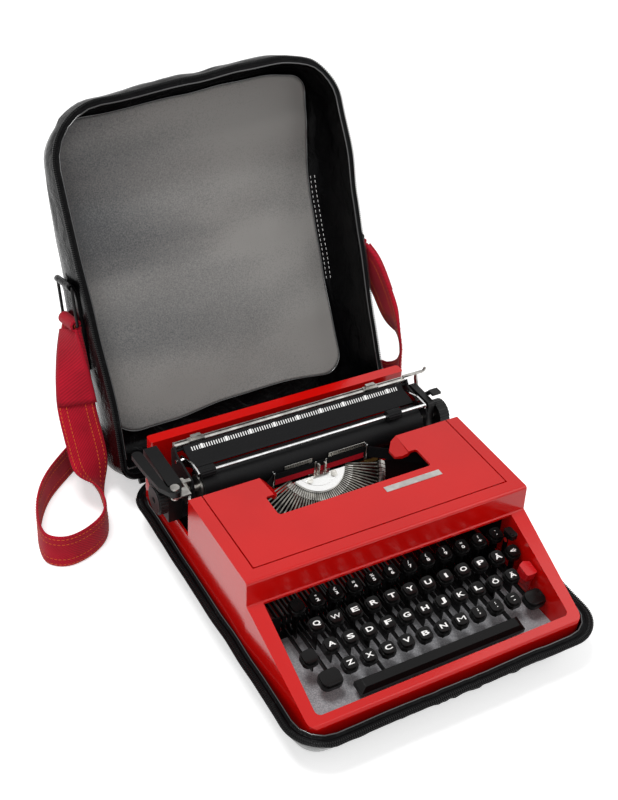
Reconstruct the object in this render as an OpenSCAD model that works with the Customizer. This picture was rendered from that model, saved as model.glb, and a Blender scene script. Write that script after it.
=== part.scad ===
// Portable typewriter standing in the open tray of its zip carrying case.
// X runs to the right, Y to the back, Z up. The origin is on the table,
// under the middle of the machine.

/* [Body] */
// Width of the body shell at its widest
body_w = 288; // [287:0.5:289]
// Width of the body shell at its front
front_w = 278; // [276:1:280]
// Height of the ribbon cover above the table
top_z = 113; // [112.5:0.5:114]
// Thickness of the body shells
shell = 2.5; // [2:0.1:2.8]
// Height of the rear ridge above the table
ridge_z = 108.5; // [107:0.5:110]

/* [Keyboard] */
// Distance between neighbouring keys in a row
key_pitch = 19; // [18.8:0.05:19.1]
// Width of a letter key
key_w = 13.8; // [13:0.1:14.4]
// Thickness of a key lever
lever_t = 1.4; // [1:0.1:1.6]

/* [Carriage] */
// Radius of the platen
platen_r = 16; // [15.6:0.1:16]
// Length of the platen
platen_l = 236; // [230:1:236]
// Radius of the platen knobs
knob_r = 14.5; // [12:0.5:15]

/* [Case] */
// Room between the body and the outside of the case at each side
side_room = 11; // [10.5:0.5:12]
// Room between the body and the outside of the case at the front and the back
end_room = 16.5; // [16:0.5:17.5]
// Height of the tray wall
tray_h = 38; // [37:0.5:38]
// Depth of the lid
lid_depth = 80; // [78:1:80]
// Lean of the open lid away from upright, in degrees
lid_lean = 29.5; // [28:0.5:29.5]
// Width of the shoulder strap
strap_w = 38; // [34:1:40]

/* [Hidden] */
$fn = 48;
running_fit = 0.06;
part_gap = 0.3;
case_wall = 3;
tray_wall = 2;
tray_floor = 2.5;
body_half = body_w / 2;
front_half = front_w / 2;
foot_h = 5.5;
pan_z = tray_floor + foot_h;
seam_z = 24;
pan_taper = 7;
rear_wall_z = 68.5;
body_front_y = -163.5;
body_rear_y = 163.5;
case_w = body_w + 2 * side_room;
case_d = body_rear_y - body_front_y + 2 * end_room;
case_corner = 36;
cover_front_y = -54.6;
cover_rear_y = 60;
fascia_z = 87.4;
rail_front_z = 43.6;
well_half = 128.7;
well_front_y = -154.8;
well_rear_y = -56;
groove_half = 131.2;
groove_front_y = -41.1;
groove = 1.3;
ledge = 5;
ledge_half = groove_half - ledge;
notch_half = 80;
notch_front_y = 8.8;
notch_rear_y = 34.6;
ear_half = 73;
ear_tip = 63;
ridge_half = 140;
ridge_front_y = 151.7;

// Rows of keys: x of the first key, y, z of the key top, number of keys
row_1 = [-77.4, -59.7, 72.8, 11];
row_2 = [-87.2, -78.4, 63.6, 11];
row_3 = [-82.6, -97.0, 54.8, 11];
row_4 = [-74.0, -115.6, 46.0, 10];
home_skip = 5;
key_h_size = 8;
key_tilt = 10;
selector_x = 120.2;
skirt_h = 4.4;
fulcrum_y = 22;
fulcrum_z = 34;
fulcrum_r = 2;
lever_z = 31.5;
lever_h = 5;
space_x = [-77, 93];
space_y = -135.5;
space_z = 38;
space_levers = [-46.9, 86.1];

basket_y = 84.5;
basket_z = 86.5;
basket_tilt = 29;
ring_r = 38.5;
plate_r = 29.5;
bar_count = 43;
bar_step = 3.5;
bar_tip = 72;
bar_pivot = 34.5;
bar_t = 1.2;

platen_y = 92.5;
platen_z = 94;
shaft_r = 3;
feed_r = 3;
feed_y = 88.5;
feed_z = platen_z - sqrt(pow(platen_r + feed_r + 0.05, 2) - pow(platen_y - feed_y, 2));
bail_y = 86.7;
bail_z = 115.2;
bail_pivot = [120, 106];
side_x = 126;
base_plate_z = 70;
table_half = 119;
stop_rail_y = 130;
stop_rail_z = 116.4;
stop_rail_r = 2;
lever_pivot = [-150, 75];

hinge_y = case_d / 2 + 1;
hinge_z = 40;
seam_r = 1.5;
lid_len = 365;
ring_x = case_w / 2 + 6;
ring_wire = 1.6;
// Rings on the lid wall: side, depth and height of the upper bar, width, height, turn, tab width, tab length
left_ring = [-1, 33, 202, 42, 40, 13.5, 26, 42];
right_ring = [1, 26, 188, 30, 42, lid_lean, 20, 26];
strap_t = 2.6;
route_half = 155;

// Middle of the strap, the direction across it and its layers, from ring to ring.
// The route is drawn for a case that is twice route_half wide.
strap_route = [
  [[-168, 279, 128], [0.5, -0.8, 0.25], 2],
  [[-176, 266, 92], [0.87, -0.48, 0.05], 2],
  [[-175.5, 242, 55], [0.85, -0.45, -0.3], 1],
  [[-176, 212, 30], [0.5, -0.3, -0.8], 1],
  [[-177, 183, 20.5], [0.1, -0.1, -1], 1],
  [[-187, 157, 19.3], [0, 0, -1], 1],
  [[-208, 142, 19.3], [0, 0, -1], 1],
  [[-232, 138, 19.3], [0, 0, -1], 1],
  [[-248, 150, 19.3], [0, 0, -1], 1],
  [[-247, 175, 19.3], [0, 0, -1], 1],
  [[-236, 205, 19.3], [0, 0, -1], 1],
  [[-218, 232, 19.3], [0, 0, -1], 1],
  [[-192, 256, 19.3], [0, 0, -1], 1],
  [[-160, 279, 19.3], [0, 0, -1], 1],
  [[-125, 292, 19.3], [0, 0, -1], 1],
  [[-60, 297, 19.3], [0, 0, -1], 1],
  [[20, 298, 19.3], [0, 0, -1], 1],
  [[100, 295, 19.3], [0, 0, -1], 1],
  [[150, 284, 19.3], [0, 0, -1], 1],
  [[182, 264, 19.9], [0, 0, -1], 1],
  [[191, 242, 24], [0, -0.4, -0.9], 1],
  [[186, 221, 44], [-0.3, -0.7, -0.6], 1],
  [[177, 209, 75], [-0.55, -0.82, -0.1], 1],
  [[172, 210, 105], [-0.45, -0.85, 0.3], 1],
  [[169, 227, 127], [-0.1, -0.72, 0.68], 2],
  [[167, 246, 147], [0, -0.66, 0.75], 2],
  [[164, 265, 163.5], [0.05, -0.42, 0.91], 2]
];

function unit(v) = v / norm(v);

// The arc that rounds corner b between a and c with radius r, in n steps
function corner(a, b, c, r, n) =
  r == 0 ? [b] :
  let (
    u = unit(a - b), v = unit(c - b),
    half = acos(u * v) / 2,
    middle = b + unit(u + v) * r / sin(half),
    s = b + u * r / tan(half) - middle,
    e = b + v * r / tan(half) - middle,
    from = atan2(s[1], s[0]),
    sweep = atan2(e[1], e[0]) - from,
    turn = sweep > 180 ? sweep - 360 : sweep < -180 ? sweep + 360 : sweep
  ) [for (i = [0:n]) middle + r * [cos(from + turn * i / n), sin(from + turn * i / n)]];

// An outline whose corners [x, y, r] are each rounded to their own radius
function rounded(p, n = 6) = [
  for (i = [0:len(p) - 1])
    let (a = p[(i + len(p) - 1) % len(p)], b = p[i], c = p[(i + 1) % len(p)])
      each corner([a[0], a[1]], [b[0], b[1]], [c[0], c[1]], b[2], n)
];

// A profile drawn in Y and Z, drawn out along X
module along_x(w, x = 0) {
  translate([x, 0, 0]) rotate([90, 0, 90]) linear_extrude(w, center = true) children();
}

module rod_x(x0, x1, y, z, r) {
  translate([x0, y, z]) rotate([0, 90, 0]) cylinder(r = r, h = x1 - x0);
}

module block(x, y, z) {
  translate([x[0], y[0], z[0]]) cube([x[1] - x[0], y[1] - y[0], z[1] - z[0]]);
}

module round_rect(w, d, r) {
  polygon(rounded([[-w / 2, -d / 2, r], [w / 2, -d / 2, r], [w / 2, d / 2, r], [-w / 2, d / 2, r]]));
}

module squircle(w, d, r) {
  square([w - 2 * r, d], center = true);
  square([w, d - 2 * r], center = true);
  for (x = [-1, 1], y = [-1, 1]) translate([x * (w / 2 - r), y * (d / 2 - r)]) circle(r);
}

// Body shells

module body_plan(inset, rear, rear_r = 0) {
  side = body_half - inset;
  front = front_half - inset;
  y = body_front_y + inset;
  polygon(rounded([
    [-side, rear, rear_r], [-side, cover_front_y, 20], [-front, y, 9 - inset], [front, y, 9 - inset],
    [side, cover_front_y, 20], [side, rear, rear_r]
  ]));
}

module cover_profile(inset, bottom) {
  polygon(rounded([
    [cover_rear_y + inset / 10, top_z - inset, 0],
    [cover_front_y + inset, top_z - inset, 3 - inset / 2],
    [cover_front_y + inset - 1.4, fascia_z - inset * 0.4, 1.5],
    [body_front_y + inset, rail_front_z - inset, 5 - inset],
    [body_front_y + inset, bottom, 0],
    [cover_rear_y + inset / 10, bottom, 0]
  ]));
}

module cover_solid(inset, bottom) {
  intersection() {
    along_x(body_w) cover_profile(inset, bottom);
    linear_extrude(top_z + 10) body_plan(inset, cover_rear_y + inset / 10);
  }
}

module well_plan(grow, rear) {
  polygon(rounded([
    [-well_half - grow, rear, 0], [-well_half - grow, well_front_y - grow, 5 + grow],
    [well_half + grow, well_front_y - grow, 5 + grow], [well_half + grow, rear, 0]
  ]));
}

module top_cover() {
  ledge_z = top_z - shell - part_gap;
  color([0.83, 0.13, 0.11]) {
    difference() {
      cover_solid(0, seam_z);
      cover_solid(shell, seam_z - 1);
      translate([0, 0, seam_z + 1]) linear_extrude(90) intersection() {
        well_plan(0, well_rear_y);
        translate([-body_half, -200]) square([body_w, 200 + well_rear_y - 1.2]);
      }
      block([-groove_half, groove_half], [groove_front_y, cover_rear_y + 1], [top_z - shell - 1, top_z + 1]);
    }
    // Walls of the keyboard well
    intersection() {
      cover_solid(shell / 2, 17);
      translate([0, 0, 17]) linear_extrude(80) difference() {
        well_plan(2, -47);
        well_plan(0, -46);
      }
    }
    block([-well_half, well_half], [-50, -48], [76, fascia_z + 4]);
    block([-well_half, well_half], [-54, -48], [fascia_z + 2, fascia_z + 4]);
    // Ledge that the ribbon cover lies on
    difference() {
      block([-groove_half - 2, groove_half + 2],
        [groove_front_y - 2, cover_rear_y], [ledge_z - 2, top_z - 2]);
      block([-groove_half, groove_half], [groove_front_y, cover_rear_y + 1], [ledge_z, top_z]);
      block([-ledge_half, ledge_half], [groove_front_y + ledge, cover_rear_y + 1], [top_z - 8, top_z]);
    }
  }
}

module ribbon_cover() {
  half = groove_half - groove;
  front = groove_front_y + groove;
  rear = cover_rear_y;
  outline = rounded([
    [-half, rear, 0], [-half, front, 1.5], [half, front, 1.5], [half, rear, 0],
    [ear_half, rear, 0], [ear_half - 1.5, notch_rear_y, 0], [notch_half, notch_rear_y, 2],
    [notch_half, notch_front_y, 3], [-notch_half, notch_front_y, 3],
    [-notch_half, notch_rear_y, 2], [1.5 - ear_half, notch_rear_y, 0], [-ear_half, rear, 0]
  ]);
  color([0.86, 0.15, 0.13]) {
    translate([0, 0, top_z - shell]) linear_extrude(shell) polygon(outline);
    // Slanting ears beside the type opening
    for (side = [-1, 1]) intersection() {
      rotate([90, 0, 0]) translate([0, 0, -rear]) linear_extrude(rear - notch_rear_y)
        polygon([
          for (p = [[ear_half + 2, top_z], [ear_half, top_z], [ear_tip, top_z - 10.5],
            [ear_tip, top_z - 13], [ear_half + 2, top_z - 2.5]]) [side * p[0], p[1]]
        ]);
      linear_extrude(200) polygon([
        for (p = [[ear_half + 2, rear], [ear_half + 2, notch_rear_y + 0.4], [ear_half - 1.5, notch_rear_y],
          [ear_tip + 4, notch_rear_y + 3], [ear_tip, notch_rear_y + 9], [ear_tip, rear - 6],
          [ear_tip + 5, rear]]) [side * p[0], p[1]]
      ]);
    }
    stop = ledge_half - part_gap;
    for (side = [-1, 1]) block(side > 0 ? [ear_half, stop] : [-stop, -ear_half],
      [rear - shell, rear], [top_z - 9, top_z - 1]);
  }
}

module nameplate() {
  color([0.75, 0.74, 0.72]) block([22.5, 82.5], [-6.6, 0.4], [top_z, top_z + 0.5]);
}

module keyboard_plate() {
  color([0.2, 0.2, 0.21]) translate([0, 0, 19]) linear_extrude(1.5) well_plan(-part_gap, -48);
}

// Outline of the pan's underside, drawn in all round from the body above it
module pan_foot(inset) {
  side = body_half - pan_taper - inset;
  front = front_half - pan_taper - inset;
  rear = body_rear_y - pan_taper - inset;
  polygon(rounded([
    [-side, rear, 8], [-side, cover_front_y, 20], [-front, body_front_y + pan_taper + inset, 16],
    [front, body_front_y + pan_taper + inset, 16], [side, cover_front_y, 20], [side, rear, 8]
  ]));
}

module pan_form(inset, top) {
  skin = 0.01;
  hull() {
    translate([0, 0, pan_z + inset]) linear_extrude(skin) pan_foot(inset);
    translate([0, 0, seam_z - skin]) linear_extrude(skin) body_plan(inset, body_rear_y - inset, 8 - inset);
  }
  translate([0, 0, seam_z - skin]) linear_extrude(top - seam_z + skin)
    body_plan(inset, body_rear_y - inset, 8 - inset);
}

module base_pan() {
  color([0.78, 0.1, 0.09]) {
    difference() {
      pan_form(0, rear_wall_z);
      pan_form(shell, 200);
      block([-200, 200], [-200, cover_rear_y + 0.2], [seam_z, 200]);
      block([-ridge_half, ridge_half], [body_rear_y - shell - 1, 200], [60, 200]);
    }
    // Hollow ridge behind the carriage
    difference() {
      translate([0, (ridge_front_y + body_rear_y) / 2, 58]) linear_extrude(ridge_z - 58)
        round_rect(2 * ridge_half, body_rear_y - ridge_front_y, 3);
      translate([0, (ridge_front_y + body_rear_y) / 2, 57]) linear_extrude(ridge_z - shell - 57)
        round_rect(2 * ridge_half - 2 * shell, body_rear_y - ridge_front_y - 2 * shell, 1.5);
    }
    // Posts for the mainspring drum and the bell
    for (x = [-100, 95]) translate([x, 130, pan_z + 1]) {
      cylinder(r = 2, h = 25);
      cylinder(r = 4, h = x < 0 ? shell + 0.2 : 16.5);
    }
  }
}

module rubber_feet() {
  color([0.08, 0.08, 0.08]) for (x = [-118, 118], y = [-140, 140])
    translate([x, y, tray_floor]) cylinder(r = 8, h = foot_h);
}

module chassis_frame() {
  color([0.35, 0.35, 0.36]) {
    for (side = [-1, 1]) {
      block(side > 0 ? [132, 134] : [-134, -132], [-44, 148], [pan_z + shell, 66]);
      block(side > 0 ? [86, 134] : [-134, -86], [-8, 36], [74, 76]);
      block(side > 0 ? [132, 134] : [-134, -132], [-8, 36], [65, 76]);
      translate([side * 104, 14, 74.5]) cylinder(r = 3, h = 25.5);
    }
    block([-133, 133], [78, 80], [40, 66]);
  }
}

module key_comb() {
  xs = concat([for (r = [row_1, row_2, row_3, row_4], i = [0:r[3] - 1]) r[0] + i * key_pitch],
    space_levers, [-101.6, -96.4, -91.5, 117, selector_x, 121.8, 126]);
  color([0.4, 0.4, 0.4]) difference() {
    block([-131.7, 131.7], [-44, -42.5], [pan_z + shell, 44]);
    for (x = xs) block([x - 0.95, x + 0.95], [-45, -42], [24.2, 45]);
  }
}

module lever_fulcrum() {
  color([0.6, 0.6, 0.6]) rod_x(-131.7, 131.7, fulcrum_y, fulcrum_z, fulcrum_r);
}

// Keys

module lever(x, y, z, reach = 4) {
  difference() {
    union() {
      block([x - lever_t / 2, x + lever_t / 2], [y - 2, fulcrum_y + reach], [lever_z, lever_z + lever_h]);
      block([x - lever_t / 2, x + lever_t / 2], [y - 2, y + 4], [lever_z + 1, z]);
    }
    rod_x(x - 2, x + 2, fulcrum_y, fulcrum_z, fulcrum_r + running_fit);
  }
}

module key_cap(x, y, z, w = key_w, d = key_w, r = 4.6) {
  top_h = key_h_size - skirt_h;
  translate([x, y, z]) rotate([key_tilt, 0, 0]) difference() {
    translate([0, 0, -key_h_size]) union() {
      linear_extrude(skirt_h) squircle(w, d, r);
      translate([0, 0, skirt_h]) linear_extrude(top_h) squircle(w - 2, d - 2, r - 0.6);
    }
    translate([0, 0, 23.1]) rotate([0, 90, 0]) cylinder(r = 24, h = 60, center = true, $fn = 96);
  }
}

module key(x, y, z) {
  key_cap(x, y, z);
  lever(x, y, z - key_h_size + 1.5);
}

module key_row(row, skip = -1) {
  color([0.06, 0.06, 0.065]) for (i = [0:row[3] - 1]) if (i != skip)
    key(row[0] + i * key_pitch, row[1], row[2]);
}

module key_row_1() { key_row(row_1); }
module key_row_2() { key_row(row_2); }
module key_row_3() { key_row(row_3, home_skip); }
module key_row_4() { key_row(row_4); }

module key_h() {
  color([0.06, 0.06, 0.065]) key(row_3[0] + home_skip * key_pitch, row_3[1], row_3[2]);
}

module space_bar() {
  long = space_x[1] - space_x[0];
  half = long / 2;
  color([0.05, 0.05, 0.055]) {
    translate([(space_x[0] + space_x[1]) / 2, space_y, space_z]) rotate([key_tilt, 0, 0])
      intersection() {
        along_x(long) polygon([[-7, -9], [7, -9], [7, -4], [5, 0], [-3.5, 0], [-7, -4]]);
        rotate([90, 0, 0]) linear_extrude(40, center = true)
          polygon([[-half, -9], [half, -9], [half, -4], [half - 5, 0], [5 - half, 0], [-half, -4]]);
      }
    for (x = space_levers) lever(x, space_y, space_z - 7);
  }
}

module shift_keys() {
  color([0.06, 0.06, 0.065]) {
    key_cap(-95.4, -120.3, 43, 21, 17, 6);
    key_cap(117.5, -121, 44, 20, 17, 6);
    lever(-91.5, -120, 36, 14);
    lever(117, -120, 37, 14);
    rod_x(-91.5, 117, 33.5, fulcrum_z, 1.6);
  }
}

module shift_lock() {
  color([0.06, 0.06, 0.065]) {
    key_cap(-104.2, -98.5, 51, 15, 15, 5);
    lever(-101.6, -98.5, 44);
  }
}

module tab_key() {
  color([0.8, 0.1, 0.1]) {
    translate([121, -101, 60]) rotate([key_tilt, 0, 0]) translate([0, 0, -9]) linear_extrude(9)
      polygon(rounded([[-5.9, -7.5, 2.5], [5.9, -7.5, 2.5], [5.9, 6, 1], [0, 8.5, 2], [-5.9, 6, 1]]));
    lever(126, -101, 52.5);
  }
}

module backspace_key() {
  color([0.06, 0.06, 0.065]) {
    key_cap(120.6, row_2[1], row_2[2]);
    lever(121.8, row_2[1], row_2[2] - key_h_size + 1.5);
  }
}

module margin_release_key() {
  color([0.06, 0.06, 0.065]) key(-96.4, row_1[1], row_1[2]);
}

module ribbon_selector() {
  x = selector_x;
  thin = 0.4;
  color([0.07, 0.07, 0.07]) {
    difference() {
      union() {
        block([x - thin, x + thin], [-69, fulcrum_y + 4], [lever_z, lever_z + lever_h]);
        block([x - thin, x + thin], [-69, -63], [lever_z + 1, 78]);
      }
      rod_x(x - 2, x + 2, fulcrum_y, fulcrum_z, fulcrum_r + running_fit);
    }
    translate([x, -69, 74.5]) linear_extrude(5)
      polygon(rounded([[-4, -8, 2], [4, -8, 2], [4, 5, 2], [-4, 5, 2]]));
  }
  color([0.7, 0.1, 0.08]) translate([x, -73, 79.5]) cylinder(r = 2.4, h = 0.8);
}

// Type action

module in_basket() {
  translate([0, basket_y, basket_z]) rotate([basket_tilt, 0, 0]) children();
}

module cut_behind(y) {
  intersection() {
    children();
    block([-90, 90], [-20, y], [20, 110]);
  }
}

module segment() {
  color([0.5, 0.5, 0.5]) {
    cut_behind(73.5) in_basket() difference() {
      translate([0, 0, -7]) cylinder(r = ring_r, h = 7, $fn = 96);
      translate([0, 0, -8]) cylinder(r = 16, h = 9);
      for (i = [0:bar_count - 1]) rotate([0, 0, -90 + (i - (bar_count - 1) / 2) * bar_step])
        block([30.5, 50], [-bar_t / 2 - 0.2, bar_t / 2 + 0.2], [-6.3, 1]);
    }
    in_basket() translate([0, -bar_pivot, -3.3]) rod_x(-1.3, 1.3, 0, 0, 0.8);
    block([-28, 28], [72, 77.7], [46, 66]);
    for (x = [-24, 24]) block([x - 4, x + 4], [72.5, 74], [60, 72.2]);
  }
}

module segment_plate() {
  color([0.88, 0.88, 0.87]) cut_behind(73) in_basket() difference() {
    cylinder(r = plate_r, h = 1.2, $fn = 96);
    translate([0, 0, 0.8]) difference() {
      cylinder(r = 24.4, h = 1);
      translate([0, 0, -1]) cylinder(r = 23.8, h = 3);
    }
  }
}

module segment_screws() {
  color([0.8, 0.79, 0.76]) in_basket() for (x = [-13, 13]) translate([x, -16, 1.2]) difference() {
    cylinder(r = 3.2, h = 1.4);
    block([-4, 4], [-0.4, 0.4], [0.8, 2]);
  }
}

// A bar lies along X with its type slug at the far end
module typebar(x0) {
  block([x0, bar_tip - 7], [-bar_t / 2, bar_t / 2], [-5, -1.6]);
  translate([bar_tip, 1.6, 0]) rotate([90, 0, 0]) linear_extrude(3.2)
    polygon([[-9, -5], [-3, -5], [0, -1.2], [-5, 2.2], [-8, -1.6]]);
}

module typebars() {
  middle = (bar_count - 1) / 2;
  color([0.45, 0.44, 0.42]) in_basket() for (i = [0:bar_count - 1]) if (i != middle)
    rotate([0, 0, -90 + (i - middle) * bar_step]) typebar(31);
}

module typed_bar() {
  color([0.45, 0.44, 0.42]) in_basket() rotate([0, 0, -90]) difference() {
    typebar(32.5);
    translate([bar_pivot, 0, -3.3]) rotate([90, 0, 0]) cylinder(r = 0.8 + running_fit, h = 4, center = true);
    // Hollow that clears the rim of the plate when the bar is up
    block([bar_pivot + 3.7, bar_pivot + 9.5], [-1, 1], [-2.9, 0]);
  }
}

module typebar_rest() {
  color([0.12, 0.12, 0.12]) cut_behind(60) in_basket() translate([0, 0, -8.2]) difference() {
    cylinder(r = 64, h = 3, $fn = 96);
    translate([0, 0, -1]) cylinder(r = 58, h = 5, $fn = 96);
  }
  color([0.12, 0.12, 0.12]) in_basket() for (a = [-150, -115, -65, -30]) rotate([0, 0, a])
    block([34, 59], [-2, 2], [-8.2, -7.1]);
}

module type_guide() {
  color([0.6, 0.59, 0.57]) difference() {
    union() {
      block([-12, 12], [75, 80], [66.2, 72]);
      block([-12, 12], [75, 75.8], [70, 83]);
      block([-8, 8], [70, 75.8], [82, 83.5]);
      for (side = [-1, 1]) {
        block(side > 0 ? [2.6, 4.4] : [-4.4, -2.6], [70, 73.4], [82, 96]);
        block(side > 0 ? [9, 12] : [-12, -9], [75.2, 75.8], [80, 101]);
      }
      block([-38, -9], [75.2, 75.8], [97.8, 102]);
      block([9, 49], [75.2, 75.8], [97.8, 102]);
    }
    for (side = [-1, 1]) block(side > 0 ? [4.8, 6.8] : [-6.8, -4.8], [73.4, 74.6], [60, 90]);
  }
}

module ribbon_vibrator() {
  color([0.65, 0.64, 0.62]) {
    for (side = [-1, 1]) block(side > 0 ? [5, 6.5] : [-6.5, -5], [73.7, 74.1], [70, 98]);
    block([-6.5, 6.5], [73.7, 74.7], [70, 76.5]);
  }
}

module ribbon() {
  bend_x = 50.7;
  lead = [76 * cos(36), -76 * sin(36)];
  step = 0.4 * [sin(36), cos(36)];
  right_side = [[bend_x, 74.4], [bend_x, 74.4] + lead, [bend_x, 74.4] + lead + step, [bend_x + 0.13, 74.8]];
  left_side = [for (i = [3:-1:0]) [-right_side[i][0], right_side[i][1]]];
  color([0.1, 0.02, 0.02]) translate([0, 0, 84]) linear_extrude(13) polygon(concat(right_side, left_side));
}

module ribbon_guides() {
  color([0.8, 0.8, 0.78]) for (x = [-50.3, 50.3]) {
    translate([x, 75.7, 66.2]) cylinder(r = 0.6, h = 33.8);
    block([x - 2, x + 2], [75, 80], [66, 67.5]);
    translate([x, 73.2, 82]) cylinder(r = 0.9, h = 18);
    translate([x, 73.2, 82.6]) rotate([-90, 0, 0]) cylinder(r = 0.45, h = 2.5);
  }
}

module ribbon_spool() {
  color([0.3, 0.3, 0.31]) difference() {
    union() {
      cylinder(r = 6, h = 22.7);
      translate([0, 0, 5.9]) cylinder(r = 21, h = 1);
      translate([0, 0, 21.7]) cylinder(r = 21, h = 1);
      translate([0, 0, 6.5]) cylinder(r = 16.8, h = 15.5);
    }
    translate([0, 0, -1]) cylinder(r = 3 + running_fit, h = 30);
    for (a = [0:120:240]) rotate([0, 0, a]) translate([12, 0, -1]) cylinder(r = 2, h = 30);
  }
}

module ribbon_spool_left() { translate([-104, 14, 76.3]) ribbon_spool(); }
module ribbon_spool_right() { translate([104, 14, 76.3]) ribbon_spool(); }

// Carriage drive

module carriage_rail() {
  color([0.5, 0.5, 0.5]) {
    difference() {
      block([-131.7, 131.7], [96, 114], [60, 68]);
      block([-133, 133], [101, 109], [63, 69]);
    }
    translate([0, 113, 54]) rotate([-90, 0, 0]) cylinder(r = 1.5, h = 10);
    translate([0, 113, 54]) rotate([-90, 0, 0]) cylinder(r = 3, h = 2.7);
    block([-4, 4], [111, 114], [50, 61]);
  }
}

module mainspring_drum() {
  color([0.55, 0.5, 0.4]) translate([-100, 130, pan_z + shell + 1.5]) difference() {
    cylinder(r = 17, h = 17);
    translate([0, 0, -1]) cylinder(r = 2 + running_fit, h = 30);
    translate([0, 0, 15.5]) difference() {
      cylinder(r = 15, h = 3);
      translate([0, 0, -1]) cylinder(r = 5, h = 5);
    }
  }
}

module escapement_wheel() {
  teeth = 20;
  color([0.6, 0.55, 0.35]) translate([0, 116, 54]) rotate([-90, 0, 0]) linear_extrude(1.5) difference() {
    polygon([for (i = [0:teeth - 1]) each [
      10 * [cos(i * 360 / teeth), sin(i * 360 / teeth)],
      8.4 * [cos((i + 0.9) * 360 / teeth), sin((i + 0.9) * 360 / teeth)]
    ]]);
    circle(1.5 + running_fit);
  }
}

module bell() {
  color([0.75, 0.72, 0.65]) translate([95, 130, 15]) difference() {
    cylinder(r1 = 16, r2 = 9, h = 12);
    translate([0, 0, -1.2]) cylinder(r1 = 15.2, r2 = 8.2, h = 12);
    cylinder(r = 2.1, h = 40);
  }
}

// Carriage

module carriage_frame() {
  color([0.42, 0.42, 0.43]) {
    difference() {
      union() {
        block([-151, 136], [84, 130], [base_plate_z, base_plate_z + 2]);
        for (x = [-side_x - 2, side_x]) along_x(2, x + 1) polygon([
          [84, base_plate_z], [130, base_plate_z], [133, 112], [127, 118.6], [122, 112.5],
          [88, 108], [84, 100]
        ]);
      }
      rod_x(-150, 150, platen_y, platen_z, shaft_r + running_fit);
      rod_x(-150, 150, feed_y, feed_z, 1.5 + running_fit);
      rod_x(-150, 150, bail_pivot[0], bail_pivot[1], 2 + running_fit);
    }
    block([-30, 30], [101.3, 108.7], [63.3, base_plate_z + 1]);
  }
}

module platen() {
  color([0.07, 0.07, 0.07]) difference() {
    rod_x(-platen_l / 2, platen_l / 2, platen_y, platen_z, platen_r);
    rod_x(-platen_l, platen_l, platen_y, platen_z, shaft_r + 0.02);
  }
}

module platen_shaft() {
  teeth = 30;
  color([0.6, 0.6, 0.6]) {
    rod_x(-161, 149, platen_y, platen_z, shaft_r);
    for (x = [-platen_l / 2 - 2, platen_l / 2 + 0.3]) rod_x(x, x + 1.7, platen_y, platen_z, 12);
    translate([-134, platen_y, platen_z]) rotate([0, 90, 0]) linear_extrude(2.5)
      polygon([for (i = [0:2 * teeth - 1])
        let (r = i % 2 == 0 ? 12 : 10.4, a = i * 180 / teeth) r * [cos(a), sin(a)]
      ]);
  }
}

module knob(x0, x1) {
  difference() {
    rod_x(x0, x1, platen_y, platen_z, knob_r);
    rod_x(x0 - 1, x1 + 1, platen_y, platen_z, shaft_r + 0.02);
    for (a = [0:15:345]) translate([x0 - 1, platen_y, platen_z]) rotate([a, 0, 0])
      translate([0, knob_r + 0.9, 0]) rotate([0, 90, 0]) cylinder(r = 1.4, h = 40, $fn = 16);
  }
}

module platen_knobs() {
  color([0.1, 0.1, 0.1]) {
    knob(-162, -154.5);
    knob(139, 150);
    // Grey face of the left knob
    difference() {
      rod_x(-163, -161.9, platen_y, platen_z, 12.6);
      rod_x(-164, -160, platen_y, platen_z, 3.2);
    }
  }
}

module end_covers() {
  top = 116.4;
  color([0.08, 0.08, 0.085]) {
    difference() {
      block([-153.5, -140.3], [81.5, 138], [72, top]);
      block([-151.7, -139], [83.3, 136.2], [71, top - 1.8]);
      rod_x(-160, -130, platen_y, platen_z, shaft_r + 1);
      // Slanting rear and lower edge
      along_x(40, -147) polygon([[139, 60], [139, 96], [112, 71]]);
    }
    difference() {
      along_x(7, 133) polygon(rounded([
        [88, 72, 0], [127, 72, 0], [129, 108, 4], [124, 113.4, 3], [88, 113.4, 4]
      ]));
      rod_x(120, 145, platen_y, platen_z, shaft_r + 1);
      rod_x(120, 145, 112, 100, 2 + running_fit);
      rod_x(120, 145, 120.2, 97, 2 + running_fit);
    }
  }
}

module lever_bracket() {
  color([0.75, 0.74, 0.72]) {
    difference() {
      union() {
        block([-154, -136], [70, 80.8], [108.4, 110]);
        block([-137.6, -136], [72, 92], [106.8, 110]);
        block([-137.6, -128], [88, 92], [106.8, 108.2]);
      }
      translate([lever_pivot[0], lever_pivot[1], 100]) cylinder(r = 2.2, h = 20);
    }
    translate([lever_pivot[0], lever_pivot[1], 106]) cylinder(r = 2, h = 12.4);
    translate([lever_pivot[0], lever_pivot[1], 106]) cylinder(r = 4, h = 2.4);
    translate([lever_pivot[0], lever_pivot[1], 116.6]) cylinder(r = 4.2, h = 2.2);
  }
}

module return_lever() {
  color([0.09, 0.09, 0.09]) difference() {
    union() {
      translate([lever_pivot[0], lever_pivot[1], 110.3]) cylinder(r = 6, h = 6);
      translate([0, 0, 110.8]) linear_extrude(4.8) polygon(rounded([
        [-145, 71, 3], [-145, 77.5, 2], [-154.6, 80.6, 2], [-155.5, 110, 10], [-156.5, 138, 4.5],
        [-166.5, 139, 4.5], [-165, 112, 20], [-162, 84, 6], [-155, 71, 3]
      ]));
    }
    translate([lever_pivot[0], lever_pivot[1], 100]) cylinder(r = 2 + running_fit, h = 30);
  }
}

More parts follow.
